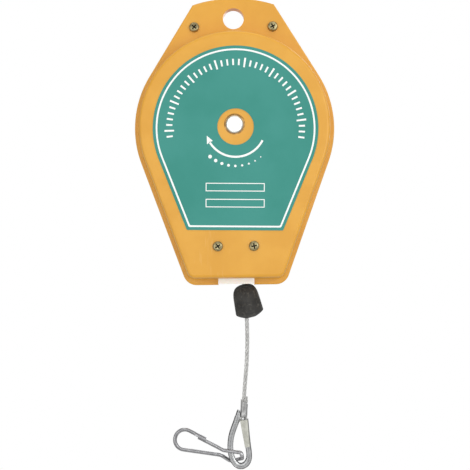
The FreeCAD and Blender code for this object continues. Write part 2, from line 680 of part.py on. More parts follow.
# ---- pawl: lies against one tooth's steep side, and lifts off by its stud -----------------------
TIP_UP = f"({ROOT} + 2 * gap)"
TIP_BACK = "-2.5 * gap"
pawl = new_body("pawl", SPINDLE)
arm = new_sketch(pawl, offset=f"-({TOOTH_BACK})")
loop(arm, [
    (TIP_BACK, TIP_UP), (TIP_BACK, "ratchet_radius + gap"),
    ("-pawl_arm", f"{PIVOT_UP} + pawl_half", "pawl_half * 1.01", 1),
    ("-pawl_arm", f"{PIVOT_UP} - pawl_half"),
    (f"-ratchet_radius * sin({PITCH}) - gap", f"ratchet_radius * cos({PITCH}) + 2 * gap"),
])
arm_pad = pad(pawl, arm, "ratchet_thick")
eye = new_sketch(pawl, offset=f"-({TOOTH_BACK})")
circle(eye, "-pawl_arm", PIVOT_UP, "(pawl_pin + 2)")
pad(pawl, eye, "ratchet_thick")
tail = new_sketch(pawl, offset=f"-({TOOTH_BACK})")
rectangle(tail, "-pawl_arm - pawl_tail", f"{PIVOT_UP} - pawl_half", "-pawl_arm",
          f"{PIVOT_UP} + pawl_half")
pad(pawl, tail, "ratchet_thick")
stud = new_sketch(pawl, offset="-half_depth - stud_proud")
circle(stud, "-pawl_arm - pawl_tail", PIVOT_UP, "stud_radius")
pad(pawl, stud, f"half_depth + stud_proud - ({TOOTH_BACK})")
bore = new_sketch(pawl, offset=f"-({TOOTH_BACK}) - 1")
circle(bore, "-pawl_arm", PIVOT_UP, "pawl_pin + running")
pocket(pawl, bore, "ratchet_thick + 2", Reversed=True)

PIN_END = f"{INNER_FACE} + shell_wall / 2"
pawl_pivot = new_body("pawl_pivot", SPINDLE)
revolve(pawl_pivot, [
    ("0", "ratchet_front - 2 * gap"), ("pawl_pin", "ratchet_front - 2 * gap"),
    ("pawl_pin", PIN_END), ("0", PIN_END),
], "-pawl_arm", PIVOT_UP)

pawl_spring = new_body("pawl_spring", SPINDLE)
WIRE_MIDDLE = "(pawl_pin + gap + pawl_wire)"
SPRING_START = f"({TOOTH_BACK} + gap)"
revolve(pawl_spring, [
    *coil_edge(WIRE_MIDDLE, SPRING_START, "pawl_wire", 3),
    (f"{WIRE_MIDDLE} - pawl_wire / 2", f"{SPRING_START} + 6 * pawl_wire"),
    (f"{WIRE_MIDDLE} - pawl_wire / 2", SPRING_START),
], "-pawl_arm", PIVOT_UP)
leg = new_sketch(pawl_spring, "YZ_Plane", "-pawl_arm - pawl_tail - stud_radius")
circle(leg, f"{SPRING_START} + 3 * pawl_wire", f"{PIVOT_UP} - {WIRE_MIDDLE}", "pawl_wire")
pad(pawl_spring, leg, "pawl_tail + stud_radius")

# ---- rope from the drum, through the guide, to the thimble --------------------------------------
rope = number("rope_radius")
outlet_x = number("outlet_x")
bend_drop = number("bottom_drop - guide_inset - guide_high - brim_high") - 4
spindle_rise = number("spindle_rise")
lead_radius = number("pitch_radius + gap")
bend_from_spindle = Vector(outlet_x, -bend_drop - spindle_rise, 0)
leave_angle = math.atan2(bend_from_spindle.y, bend_from_spindle.x) - math.acos(
    lead_radius / bend_from_spindle.Length)
leave = casing_point(lead_radius * math.cos(leave_angle),
                     -spindle_rise - lead_radius * math.sin(leave_angle))
bend = casing_point(outlet_x, bend_drop)
guide_foot = number("bottom_drop - guide_inset")
lead_end = casing_point(outlet_x, bend_drop + 5)
shaped("rope_lead", tube(rounded_path([leave, bend, lead_end], [14]), rope))
guide_mouth = casing_point(outlet_x, guide_foot + 0.2)
reach_end = casing_point(outlet_x, guide_foot - 0.15)
shaped("rope_reach", tube(Part.Wire([Part.makeLine(lead_end, reach_end)]), rope))


def chain_point(x, up, y=0):
    """A place on the thimble's own axes: across, and up from the middle of its round end."""
    return CHAIN_CENTRE + CHAIN_TURN.multVec(Vector(x, y, up))


CHAIN = ("chain_x", "0", f"-{HOLE_UP} - chain_drop")
CHAIN_CENTRE = casing_point(number("chain_x"), number("chain_drop"))
CHAIN_TURN = Rotation(Vector(0, 1, 0), number("thimble_lean"))
FERRULE_LOW = "ferrule_seat"
FERRULE_TOP = f"({FERRULE_LOW} + ferrule_high)"

# the free rope as it hangs, from the guide's mouth into the ferrule
ferrule_top = number(FERRULE_TOP)
ROPE_ROUTE = [
    guide_mouth,
    casing_point(6.3, 125),
    casing_point(7.4, 139),
    casing_point(7.6, 154.5),
    casing_point(6.9, 172),
    chain_point(0, ferrule_top + 9),
    chain_point(0, ferrule_top - 5),
]
rope_radii = widest_arcs(ROPE_ROUTE)
print("arcs of the free rope, mm:", [round(radius) for radius in rope_radii])
free_rope = rounded_path(ROPE_ROUTE, rope_radii)
shaped("rope_hanging", tube(free_rope, rope))
print(f"free rope: {free_rope.Length:.1f} mm")

# ---- stopper and its sleeve ---------------------------------------------------------------------
stopper = new_body(
    "stopper", ("stopper_x", "0", f"-{HOLE_UP} - bottom_drop + guide_inset - 3 * gap"),
    Rotation(Vector(0, 1, 0), -number("stopper_tilt")))
BORE = "(rope_radius + 2 * gap + 0.3)"
POCKET = "(sleeve_radius + 1.7)"
revolve(stopper, [
    (BORE, "-0.6"), (f"{BORE} + 0.9", "0", "stopper_neck * 1.1", 1),
    ("stopper_neck", "-stopper_high * 0.4"), ("stopper_radius", "-stopper_high + 0.9", "1", 1),
    ("stopper_radius - 0.9", "-stopper_high"), (POCKET, "-stopper_high"),
    (POCKET, "-stopper_seat"), (BORE, "-stopper_seat"),
], plane="XZ_Plane")
sleeve_path = (ROPE_ROUTE[1] - ROPE_ROUTE[0]).normalize()
sleeve_foot = ROPE_ROUTE[0] + sleeve_path * number("stopper_seat + 5 * gap")
sleeve = Part.makeCylinder(number("sleeve_radius"), number("sleeve_high"), sleeve_foot, sleeve_path)
hole = Part.makeCylinder(rope + 0.2, 40, ROPE_ROUTE[0], sleeve_path)
shaped("stop_sleeve", sleeve.cut(hole))

# ---- ferrule, thimble and rope eye --------------------------------------------------------------
ferrule = new_body("ferrule", CHAIN, CHAIN_TURN)
TAIL_BACK = "sqrt((2 * rope_radius + gap)^2 - tail_x^2)"
half = "(tail_x + rope_radius + running + ferrule_wall)"
back = f"({TAIL_BACK} + rope_radius + running + ferrule_wall)"
front_view = new_sketch(ferrule, offset=f"-{back}")
loop(front_view, [
    (f"-{half}", FERRULE_LOW), (half, FERRULE_LOW), (half, f"{FERRULE_TOP} - ferrule_slant"),
    (f"-{half}", FERRULE_TOP),
])
pad(ferrule, front_view, f"{back} + {half}")
round_edges(ferrule, f"{half} / 2", lambda edge: abs(edge.tangentAt(0).z) > 0.99)
bores = new_sketch(ferrule, "XY_Plane", f"{FERRULE_TOP} - ferrule_slant - 2")
circle(bores, "0", "0", "rope_radius + running")
circle(bores, "tail_x", TAIL_BACK, "rope_radius + running")
pocket(ferrule, bores, "ferrule_slant + 3", Reversed=True)

rope_tail = new_body("rope_tail", CHAIN, CHAIN_TURN)
cut_end = new_sketch(rope_tail, "XY_Plane", f"{FERRULE_TOP} - ferrule_slant - 2")
circle(cut_end, "tail_x", TAIL_BACK, "rope_radius")
pad(rope_tail, cut_end, "ferrule_slant + 2 + tail_proud")

thimble = new_body("thimble", CHAIN, CHAIN_TURN)
HALF_DEEP = "(rope_radius + gap / 2 + thimble_sheet)"
OUTSIDE = "(thimble_inner + thimble_deep)"


def teardrop(sketch, inner, outer, length):
    """The band between two distances from the thimble's own line, open at the top."""
    slope = "thimble_taper"

    def leg(side, reach):
        root = (f"{side}({reach}) * cos({slope})", f"({reach}) * sin({slope})")
        tip = (f"{root[0]} - ({side}{length}) * sin({slope})", f"{root[1]} + {length} * cos({slope})")
        return root, tip

    (left_out, left_tip_out), (right_out, right_tip_out) = leg("-", outer), leg("", outer)
    (left_in, left_tip_in), (right_in, right_tip_in) = leg("-", inner), leg("", inner)
    loop(sketch, [
        left_tip_out, (*left_out, outer, -1), ("0", f"-({outer})", outer, -1), right_out,
        right_tip_out, right_tip_in, (*right_in, inner, 1), ("0", f"-({inner})", inner, 1), left_in,
        left_tip_in,
    ])


WEB = "(thimble_inner + thimble_sheet)"
web = new_sketch(thimble, offset=f"-{HALF_DEEP}")
teardrop(web, "thimble_inner", WEB, "thimble_leg")
pad(thimble, web, f"2 * {HALF_DEEP}")
for low in (f"-{HALF_DEEP}", f"{HALF_DEEP} - thimble_sheet"):
    cheek = new_sketch(thimble, offset=low)
    teardrop(cheek, WEB, OUTSIDE, "(thimble_leg - 3)")
    pad(thimble, cheek, "thimble_sheet")

ROPE_LINE = f"({WEB} + gap / 2 + rope_radius)"
line = number(ROPE_LINE)
taper = math.radians(number("thimble_taper"))
seat = number(FERRULE_LOW)
low_corner = line * (1 + math.sin(taper)) / math.cos(taper)
high = seat - 5.5
high_corner = (line - high * math.sin(taper)) / math.cos(taper)
together = rope + 0.1
EYE_ROUTE = [chain_point(x, up) for x, up in [
    (-together, seat - 0.5), (-high_corner, high), (-low_corner, -line),
    (low_corner, -line), (high_corner, high), (together, seat - 0.5),
]]
eye_path = rounded_path(EYE_ROUTE, [15, line, line, 15])
shaped("rope_eye", tube(eye_path, rope))

# a collar over the right leg, open to the thimble's inside
COLLAR_TURN = Rotation(Vector(0, 1, 0), number("thimble_lean - thimble_taper"))
collar = new_body("thimble_collar", CHAIN, COLLAR_TURN)
CLEAR = "(gap / 3)"
IN_DEEP = f"({HALF_DEEP} + {CLEAR})"
collar_section = new_sketch(collar, "XY_Plane", "collar_low")
loop(collar_section, [
    ("thimble_inner + 1", f"-{IN_DEEP} - collar_wall"),
    (f"{OUTSIDE} - 1", f"-{IN_DEEP} - collar_wall", "2.2", -1),
    (f"{OUTSIDE} + collar_wall + {CLEAR}", f"-{IN_DEEP} + 1.4"),
    (f"{OUTSIDE} + collar_wall + {CLEAR}", f"{IN_DEEP} - 1.4", "2.2", -1),
    (f"{OUTSIDE} - 1", f"{IN_DEEP} + collar_wall"),
    ("thimble_inner + 1", f"{IN_DEEP} + collar_wall"),
    ("thimble_inner + 1", IN_DEEP), (f"{OUTSIDE} + {CLEAR}", IN_DEEP),
    (f"{OUTSIDE} + {CLEAR}", f"-{IN_DEEP}"), ("thimble_inner + 1", f"-{IN_DEEP}"),
])
pad(collar, collar_section, "collar_high")

# ---- snap hook ----------------------------------------------------------------------------------
wire = number("wire")
lean = math.radians(number("hook_lean"))
ALONG = Vector(-math.cos(lean), 0, math.sin(lean))
ABOVE = Vector(math.sin(lean), 0, math.cos(lean))


def hook_point(along, above, y=0):
    """A place on the hook's own axes: from the thimble out to the nose, and to the gate's side."""
    return CHAIN_CENTRE + ALONG * along + ABOVE * above + Vector(0, y, 0)


nose, nose_radius = number("nose_reach"), number("nose_radius")
arm_slope = math.radians(number("arm_taper"))
nose_half = nose_radius * math.tan((math.pi / 2 + arm_slope) / 2)
eye_half = number("eye_half")
gate_root, gate_tip = number("gate_root"), number("gate_tip")


def arm(along):
    """Half the distance between the hook's arms."""
    return nose_half - (nose - along) * math.tan(arm_slope)


def gate_line(along):
    """The gate's height above the middle line."""
    return 1.3 + (along - gate_root) * math.tan(arm_slope)


cup_end, cup_start = gate_tip + 2.6, gate_tip - 5.5
HOOK_ROUTE = [
    hook_point(cup_end - 1, arm(cup_end - 1)), hook_point(nose, nose_half),
    hook_point(nose, -nose_half), hook_point(14.5, -arm(14.5), 0.4),
    hook_point(6.5, -5.6, eye_half), hook_point(-0.9, -1.4, eye_half),
    hook_point(-0.9, 0.7, -eye_half), hook_point(8, 0.6, -eye_half),
    hook_point(gate_root - 1.1, 1.15, -1.2),
]
nose_bend = 0.98 * nose_radius
hook_path = rounded_path(HOOK_ROUTE, [nose_bend, nose_bend, 6, 3, 2.3, 2.3, 3])
tip = hook_point(gate_tip, gate_line(gate_tip))
root = hook_point(gate_root + 0.3, gate_line(gate_root + 0.3), -0.45)
gate_bend = hook_point(gate_root + 6, gate_line(gate_root + 6))
inner_cup = hook_point(cup_start, gate_line(cup_start))
heading = (tip - gate_bend).normalize()
cup_radius, cup_wall = wire + 0.35, 0.75
cup = Part.makeCylinder(cup_radius + cup_wall, cup_end - cup_start, inner_cup, heading)
hollow = Part.makeCylinder(cup_radius, gate_tip - cup_start + 1.5, inner_cup - heading, heading)
mouth = Part.makeBox(gate_tip - cup_start + 1.5, 2 * cup_radius, 8, Vector(0, -cup_radius, 0))
mouth.Placement = Placement(
    inner_cup - heading,
    Rotation(heading, Vector(0, 1, 0), heading.cross(Vector(0, 1, 0)), "XYZ"))
snap_hook = tube(hook_path, wire).fuse(cup.cut(hollow).cut(mouth)).removeSplitter()
shaped("snap_hook", snap_hook)
gate_path = rounded_path([root, gate_bend, tip], [20])
shaped("hook_gate", tube(gate_path, wire))

# ---- checking and writing -----------------------------------------------------------------------
doc.recompute()
for thing in doc.Objects:
    if {"Invalid", "Error"} & set(thing.State):
        raise RuntimeError(f"{thing.Label}: {thing.State}")
os.makedirs("parts", exist_ok=True)
for piece in subparts:
    if piece.Shape.isNull() or not piece.Shape.isValid():
        raise RuntimeError(f"{piece.Label} is not a valid solid")
    piece.Shape.exportStep(f"parts/{piece.Label}.step")
    print(f"{piece.Label}: {len(piece.Shape.Solids)} solids, {piece.Shape.Volume / 1000:.3f} cm3")
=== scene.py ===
# %% [markdown]
# # A tool balancer in Blender
# A tool balancer hangs by the hole in its ear and carries a tool on a steel rope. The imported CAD
# model is the frame: its bodies move, and everything made here rides on one of them. What moves
# or is machined keeps its CAD shape and gets a material; rope, rubber, wire and pressed sheet
# get pieces of their own.

# %% The frame
import math

import bmesh
import bpy
from mathutils import Matrix, Vector


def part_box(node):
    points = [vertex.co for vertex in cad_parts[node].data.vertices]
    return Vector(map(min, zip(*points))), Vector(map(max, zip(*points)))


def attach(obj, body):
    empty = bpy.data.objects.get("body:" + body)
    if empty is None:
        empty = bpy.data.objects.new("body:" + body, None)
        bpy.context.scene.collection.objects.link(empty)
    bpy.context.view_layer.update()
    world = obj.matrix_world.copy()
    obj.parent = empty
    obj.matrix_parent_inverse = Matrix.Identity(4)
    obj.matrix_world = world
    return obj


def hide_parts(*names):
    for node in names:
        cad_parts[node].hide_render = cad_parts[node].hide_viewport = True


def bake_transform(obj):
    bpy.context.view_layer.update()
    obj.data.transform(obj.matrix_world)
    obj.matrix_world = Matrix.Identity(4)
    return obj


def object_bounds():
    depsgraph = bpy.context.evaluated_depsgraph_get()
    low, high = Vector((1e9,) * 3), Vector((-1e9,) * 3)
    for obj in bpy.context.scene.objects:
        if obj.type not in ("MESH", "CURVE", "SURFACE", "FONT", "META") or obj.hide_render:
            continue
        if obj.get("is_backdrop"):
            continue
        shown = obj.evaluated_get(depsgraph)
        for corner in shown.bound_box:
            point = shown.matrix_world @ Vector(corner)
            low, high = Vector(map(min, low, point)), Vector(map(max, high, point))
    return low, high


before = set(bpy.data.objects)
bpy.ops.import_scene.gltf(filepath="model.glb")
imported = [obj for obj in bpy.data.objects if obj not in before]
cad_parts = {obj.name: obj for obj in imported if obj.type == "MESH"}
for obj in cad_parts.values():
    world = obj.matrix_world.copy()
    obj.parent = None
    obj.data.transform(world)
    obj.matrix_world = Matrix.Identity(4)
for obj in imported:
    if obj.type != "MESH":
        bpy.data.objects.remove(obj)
cad_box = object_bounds()
MM = 0.001
for corner, word in zip(cad_box, ("lowest", "highest")):
    print(word, "corner, mm:", [round(value / MM, 1) for value in corner])

# %% [markdown]
# The camera comes first, because every later choice is judged through it. It stands in front of
# the hanging balancer, level with the label's lower edge, and is a little out of plumb.

# %% Camera
camera_data = bpy.data.cameras.new("view")
camera_data.lens = 85.9
camera_data.sensor_width = 36
camera = bpy.data.objects.new("view", camera_data)
camera.location = (-0.0006, -0.820, -0.1572)
camera.rotation_euler = (math.radians(90), math.radians(0.66), 0)
bpy.context.collection.objects.link(camera)
bpy.context.scene.camera = camera
bpy.context.scene.view_settings.view_transform = "Standard"

# %% [markdown]
# The rope comes next. Its line is a NURBS spline through given control points, from the mouth
# of the guide to the ferrule. Strands follow points read from that spline.

# %% The rope's line
ROPE = 1.5 * MM
HANGING = [
    (0.0054, 0, -0.1928), (0.0063, 0, -0.2047), (0.0074, 0, -0.2187), (0.0076, 0, -0.2342),
    (0.0069, 0, -0.2517), (0.00515, 0, -0.2683), (0.00427, 0, -0.2823),
]


def spline_points(route, steps=12):
    """Points along the smooth line that has the route's points as its control points."""
    data = bpy.data.curves.new("line", "CURVE")
    data.dimensions = "3D"
    data.resolution_u = steps
    spline = data.splines.new("NURBS")
    spline.points.add(len(route) - 1)
    for point, place in zip(spline.points, route):
        point.co = (*place, 1)
    spline.order_u = 3
    spline.use_endpoint_u = True
    holder = bpy.data.objects.new("line", data)
    mesh = bpy.data.meshes.new_from_object(holder)
    points = [vertex.co.copy() for vertex in mesh.vertices]
    bpy.data.objects.remove(holder)
    bpy.data.curves.remove(data)
    bpy.data.meshes.remove(mesh)
    return points


def length(points):
    """How long a line through the points is."""
    return sum((b - a).length for a, b in zip(points, points[1:]))


rope_line = spline_points(HANGING)
print(f"free rope: {length(rope_line) / MM:.1f} mm in {len(rope_line)} points")

# %% [markdown]
# Two small helpers carry most of the modelling. One turns a filled `bmesh` into an object that
# rides on a body; the other lofts rings of vertices into a skin.

# %% Helpers for pieces
def to_object(bm, name, body, replaces=(), smooth=40):
    """An object from a finished bmesh: shaded smooth, sharp past an angle, riding on a body."""
    bmesh.ops.recalc_face_normals(bm, faces=bm.faces)
    mesh = bpy.data.meshes.new(name)
    bm.to_mesh(mesh)
    bm.free()
    mesh.shade_smooth()
    if smooth < 180:
        mesh.set_sharp_from_angle(angle=math.radians(smooth))
    piece = bpy.data.objects.new(name, mesh)
    bpy.context.collection.objects.link(piece)
    if body:
        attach(piece, body)
    if replaces:
        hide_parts(*replaces)
    return piece


def loft(bm, rings, closed=True, caps=True):
    """A skin over rings of equally many places, with its ends closed."""
    rows = [[bm.verts.new(place) for place in ring] for ring in rings]
    count = len(rows[0])
    for row, following in zip(rows, rows[1:]):
        for i in range(count if closed else count - 1):
            j = (i + 1) % count
            bm.faces.new((row[i], row[j], following[j], following[i]))
    if closed and caps:
        bm.faces.new(rows[0])
        bm.faces.new(rows[-1])
    return rows


def round_ring(centre, across, up, radius, count):
    """Places on a circle that two unit directions span."""
    angles = [2 * math.pi * i / count for i in range(count)]
    return [centre + radius * (math.cos(a) * across + math.sin(a) * up) for a in angles]


FRONT = Vector((0, -1, 0))


def headings(points):
    """The direction of travel at each point of a line."""
    ends = zip([points[0], *points[:-1]], [*points[1:], points[-1]])
    return [(after - before).normalized() for before, after in ends]


# %% [markdown]
# The rope is six strands round a core, so its outline is lobed and its strands cross the front
# as short slanted ridges. One turn of a strand takes about seven rope diameters. A UV map
# runs along and around each strand for the wires in its material.

# %% Stranded rope
STRANDS, SIDES, LAY = 6, 8, 20 * MM


def strands(bm, points, start=0.0):
    """Six strands laid round a line in the plane y = const, from a given point of the lay."""
    along = bm.loops.layers.uv.new("lay") if not bm.loops.layers.uv else bm.loops.layers.uv["lay"]
    strand, orbit = ROPE / 3, ROPE * 2 / 3
    travelled = [start]
    for a, b in zip(points, points[1:]):
        travelled.append(travelled[-1] + (b - a).length)
    ways = headings(points)
    for index in range(STRANDS):
        rings = []
        for point, way, run in zip(points, ways, travelled):
            side = way.cross(FRONT).normalized()
            turn = 2 * math.pi * (index / STRANDS + run / LAY)
            out = math.cos(turn) * side + math.sin(turn) * FRONT
            around = way.cross(out)
            lean = math.atan(2 * math.pi * orbit / LAY)
            up = (math.cos(lean) * around - math.sin(lean) * way).normalized()
            rings.append(round_ring(point + orbit * out, out, up, strand, SIDES))
        rows = loft(bm, rings)
        place = {}
        for row, run in zip(rows, travelled):
            for i, vertex in enumerate(row):
                place[vertex] = (run / MM, i / SIDES)
        for vertex in place:
            for corner in vertex.link_loops:
                run, around = place[vertex]
                others = [place[c.vert][1] for c in corner.face.loops if c.vert in place]
                wraps = around == 0 and max(others) > 0.7
                corner[along].uv = (run, 1.0 if wraps else around)
    return bm


def chain(across, up, y=0.0):
    """A place on the thimble's own axes, in millimetres from the middle of its round end."""
    lean = math.radians(3.6)
    x = across * math.cos(lean) + up * math.sin(lean)
    z = -across * math.sin(lean) + up * math.cos(lean)
    return Vector((0.0019 + x * MM, y * MM, -0.3200 + z * MM))


rope = to_object(strands(bmesh.new(), rope_line), "rope", "rope_end", ["rope_hanging"])
reach_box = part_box("rope_reach")
reach_line = [Vector((0.0054, 0, reach_box[1].z + (reach_box[0].z - reach_box[1].z) * i / 8))
              for i in range(9)]
rope_run = to_object(
    strands(bmesh.new(), reach_line, -length(reach_line)), "rope_run", None, ["rope_reach"])
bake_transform(rope_run)

EYE = [
    chain(*place) for place in [
        (0, 31.5), (-3.4, 27.5), (-6.5, 21), (-8.1, 15), (-8.5, 8.5), (-7.6, 2.2), (-5, -4.4),
        (0, -6.9), (5, -4.4), (6.2, 1.6), (4.9, 8.7), (3.6, 17), (2.8, 24), (2.0, 27.5, 1.9),
        (1.5, 30.5, 2.94),
    ]
]
eye_line = spline_points(EYE, 8)
rope_eye = to_object(strands(bmesh.new(), eye_line, 5 * MM), "rope_eye_strands", "rope_end",
                     ["rope_eye"])
tail_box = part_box("rope_tail")
tail_middle = (tail_box[0] + tail_box[1]) / 2
tail_line = [Vector((tail_middle.x, tail_middle.y, z)) for z in (
    tail_box[0].z + 0.2 * MM, tail_middle.z, tail_box[1].z - 0.2 * MM)]
rope_tail = to_object(strands(bmesh.new(), tail_line), "rope_cut_end", "rope_end", ["rope_tail"])
print("strands made; eye", round(length(eye_line) / MM, 1), "mm")

# %% [markdown]
# The stopper is turned rubber: a lip where the rope enters, a round shoulder, straight sides that
# flare to the foot, and a convex foot with a mouth for the rope.

# %% Stopper
def turned(name, body, profile, axis_at, axis, replaces, steps=64):
    """A piece spun from (radius, along) places in millimetres about an axis."""
    bm = bmesh.new()
    across = axis.cross(FRONT).normalized()
    corners = [bm.verts.new(axis_at + across * r * MM + axis * along * MM) for r, along in profile]
    edges = [bm.edges.new(pair) for pair in zip(corners, corners[1:] + corners[:1])]
    bmesh.ops.spin(bm, geom=[*corners, *edges], cent=axis_at, axis=axis, steps=steps,
                   angle=2 * math.pi, use_merge=True)
    bmesh.ops.remove_doubles(bm, verts=bm.verts, dist=1e-7)
    return to_object(bm, name, body, replaces)


def arc(centre, radius, first, last, steps):
    """(radius, along) places on an arc, its angles in degrees."""
    angles = [math.radians(first + (last - first) * i / steps) for i in range(steps + 1)]
    return [(centre[0] + radius * math.cos(a), centre[1] + radius * math.sin(a)) for a in angles]


tilt = math.radians(-12.5)
stopper_up = Vector((math.sin(tilt), 0, math.cos(tilt)))
stopper_top = Vector((0.0050, 0, -0.1935))
stopper = turned("stopper_rubber", "rope_end", [
    (2.4, -0.6), *arc((3.1, -0.7), 0.7, 180, 90, 4)[1:], (3.9, -0.25), (5.2, -0.75),
    (6.4, -1.5), (7.4, -2.55), (8.25, -4.0), (8.85, -5.8), (9.25, -8), (9.5, -10.5),
    (9.85, -15), (10.15, -19.4), (10.2, -20.4), (10.05, -21.0), (9.55, -21.55), (8.4, -22.35),
    (6.8, -23.25), (5.0, -24.0), (3.6, -24.45), (3.1, -24.4), (2.9, -23.9), (2.9, -23.2),
    (5.1, -22.6), (5.1, -8.5), (2.4, -8.5),
], stopper_top, stopper_up, ["stopper"])
print("stopper box, mm:", [[round(c[i] / MM, 1) for i in range(3)] for c in stopper.bound_box][::6])

# %% [markdown]
# The ferrule is an oval tube pressed on the two runs of rope: squeezed bands across its height
# and a top sheared off on a slant. Rings of a squarish oval are lofted upwards, and the last
# ones lie in the slanted plane.

# %% Ferrule
def oval(half_x, half_y, count=40, power=2.8):
    """Corners of a squarish oval."""
    angles = [2 * math.pi * i / count for i in range(count)]
    return [
        (half_x * math.copysign(abs(math.cos(a)) ** (2 / power), math.cos(a)),
         half_y * math.copysign(abs(math.sin(a)) ** (2 / power), math.sin(a))) for a in angles
    ]


ferrule_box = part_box("ferrule")
ferrule_y = (ferrule_box[0].y + ferrule_box[1].y) / 2 / MM
half_wide, half_deep = 2.65, (ferrule_box[1].y - ferrule_box[0].y) / 2 / MM - 0.05
FERRULE_LOW, FERRULE_TOP, SLANT = 29.85, 42.75, 3.5
bm = bmesh.new()
rings = []
for part, squeeze in [
    (0.0, 0.82), (0.015, 0.92), (0.045, 0.98), (0.09, 1.0), (0.2, 1.0), (0.3, 0.985),
    (0.45, 0.98), (0.6, 0.985), (0.7, 1.0), (0.97, 1.0), (1.0, 0.95),
]:
    ring = []
    for across, deep in oval(half_wide * squeeze, half_deep * (squeeze * 1.5 - 0.5)):
        top = FERRULE_TOP - SLANT * (across + half_wide) / (2 * half_wide)
        even = FERRULE_LOW + part * (FERRULE_TOP - SLANT / 2 - FERRULE_LOW)
        slanted = FERRULE_LOW + part * (top - FERRULE_LOW)
        blend = min(1.0, max(0.0, (part - 0.5) / 0.25))
        ring.append(chain(across + 0.4, even + (slanted - even) * blend, ferrule_y + deep))
    rings.append(ring)
loft(bm, rings)
ferrule = to_object(bm, "ferrule_pressed", "rope_end", ["ferrule"], smooth=35)

# %% [markdown]
# The thimble is sheet pressed into a U that wraps round the eye of the rope. Its section is swept
# along a pear-shaped line, the left leg narrows to a tip beside the ferrule, and the sheet then
# gets its thickness. The cheeks' lips are coloured dark grey as painted shade lines along their
# edges. The collar is a C of sheet pressed over the right leg.

# %% Thimble and collar
SHEET, TIP, REACH, NARROWING = 0.75, 1.1, 4.2, 5.5
CHEEK = [
    (1.0, 2.05), (0.94, 2.2), (0.87, 2.1), (0.82, 1.9), (0.62, 1.9), (0.56, 2.2), (0.49, 2.2),
    (0.43, 1.9), (0.28, 1.88), (0.1, 1.6), (0.0, 1.0),
]


def thimble_ring(place, away, reach):
    """The U's section at one place of its line: its cheeks reach away that many millimetres."""
    section = [(out * reach * MM, deep * MM) for out, deep in CHEEK]
    section += [(r, -deep) for r, deep in reversed(section)]
    return [place + away * r + Vector((0, deep, 0)) for r, deep in section]


THIMBLE = [
    chain(*place) for place in [
        (-2.7, 34.8), (-1.8, 30.5), (-2.3, 27), (-4.3, 21), (-5.9, 15), (-6.3, 8.5), (-5.4, 2.5),
        (-3.2, -2.4), (0, -4.4), (3.2, -2.4), (4.0, 2), (2.6, 8.7), (1.3, 17), (0.2, 24.5),
        (-0.3, 28.0),
    ]
]
thimble_line = spline_points(THIMBLE, 6)
travelled, rings = 0.0, []
for i, (place, way) in enumerate(zip(thimble_line, headings(thimble_line))):
    travelled += (place - thimble_line[max(i - 1, 0)]).length
    share = min(travelled / (NARROWING * MM), 1.0)
    reach = TIP + (REACH - TIP) * share ** 0.7
    rings.append(thimble_ring(place, way.cross(FRONT).normalized(), reach))
bm = bmesh.new()
rows = loft(bm, rings, closed=False)
lips = {vertex for row in rows for vertex in (*row[:3], *row[-3:])}
# faces along the cheeks' lips take the second slot: painted shade lines along the edges
for face in bm.faces:
    face.material_index = 1 if lips.issuperset(face.verts) else 0
bmesh.ops.recalc_face_normals(bm, faces=bm.faces)
bmesh.ops.solidify(bm, geom=bm.faces[:], thickness=SHEET * MM)
thimble = to_object(bm, "thimble_pressed", "rope_end", ["thimble"], smooth=35)


def add_bevel(piece, width, segments=2):
    """Softens a piece's sharp edges by a width in millimetres."""
    bevel = piece.modifiers.new("edges", "BEVEL")
    bevel.width = width * MM
    bevel.segments = segments
    bevel.limit_method = "ANGLE"
    bevel.angle_limit = math.radians(38)


collar_lean = math.radians(-4.6)
collar_up = Vector((math.sin(collar_lean), 0, math.cos(collar_lean)))
collar_side = Vector((math.cos(collar_lean), 0, -math.sin(collar_lean)))
COLLAR = [
    (3.65, -2.86), (5.85, -2.9), (6.75, -2.75), (7.4, -2.2), (7.67, -1.3), (7.7, 0),
    (7.67, 1.3), (7.4, 2.2), (6.75, 2.75), (5.85, 2.9), (3.65, 2.86),
]
chain_centre = chain(0, 0)
bm = bmesh.new()
rings = []
for height, swell in [(7.6, 0.0), (8.1, 0.0), (9.4, 0.0), (9.55, -0.12), (9.9, -0.12),
                      (10.05, 0.0), (17, 0.0), (24, 0.0), (27.4, 0.0)]:
    inward = 1.9 * (height - 7.6) / 19.8
    rings.append([
        chain_centre + collar_side * (r + (swell if r > 5 else -inward)) * MM
        + collar_up * height * MM + Vector((0, y * MM, 0)) for r, y in COLLAR
    ])
loft(bm, rings, closed=False)
bmesh.ops.recalc_face_normals(bm, faces=bm.faces)
bmesh.ops.solidify(bm, geom=bm.faces[:], thickness=0.55 * MM)
collar = to_object(bm, "collar_pressed", "rope_end", ["thimble_collar"], smooth=35)
for piece, width in ((thimble, 0.22), (collar, 0.18)):
    add_bevel(piece, width)

# %% [markdown]
# The hook is one bent wire, and so is its gate. Each starts as a disc of wire that is pushed along
# the straight runs and spun round the bends, the way a bending machine makes it.

# %% Snap hook and gate
WIRE, ROOT, SPREAD = 1.42, 13.9, math.tan(math.radians(9.5))
HOOK_LEAN = math.radians(18.4)
ALONG = Vector((-math.cos(HOOK_LEAN), 0, math.sin(HOOK_LEAN)))
ABOVE = Vector((math.sin(HOOK_LEAN), 0, math.cos(HOOK_LEAN)))


def hook(along, above, y=0.0):
    """A place on the hook's own axes, in millimetres: out to the nose, and to the gate's side."""
    return chain_centre + (ALONG * along + ABOVE * above + Vector((0, y, 0))) * MM


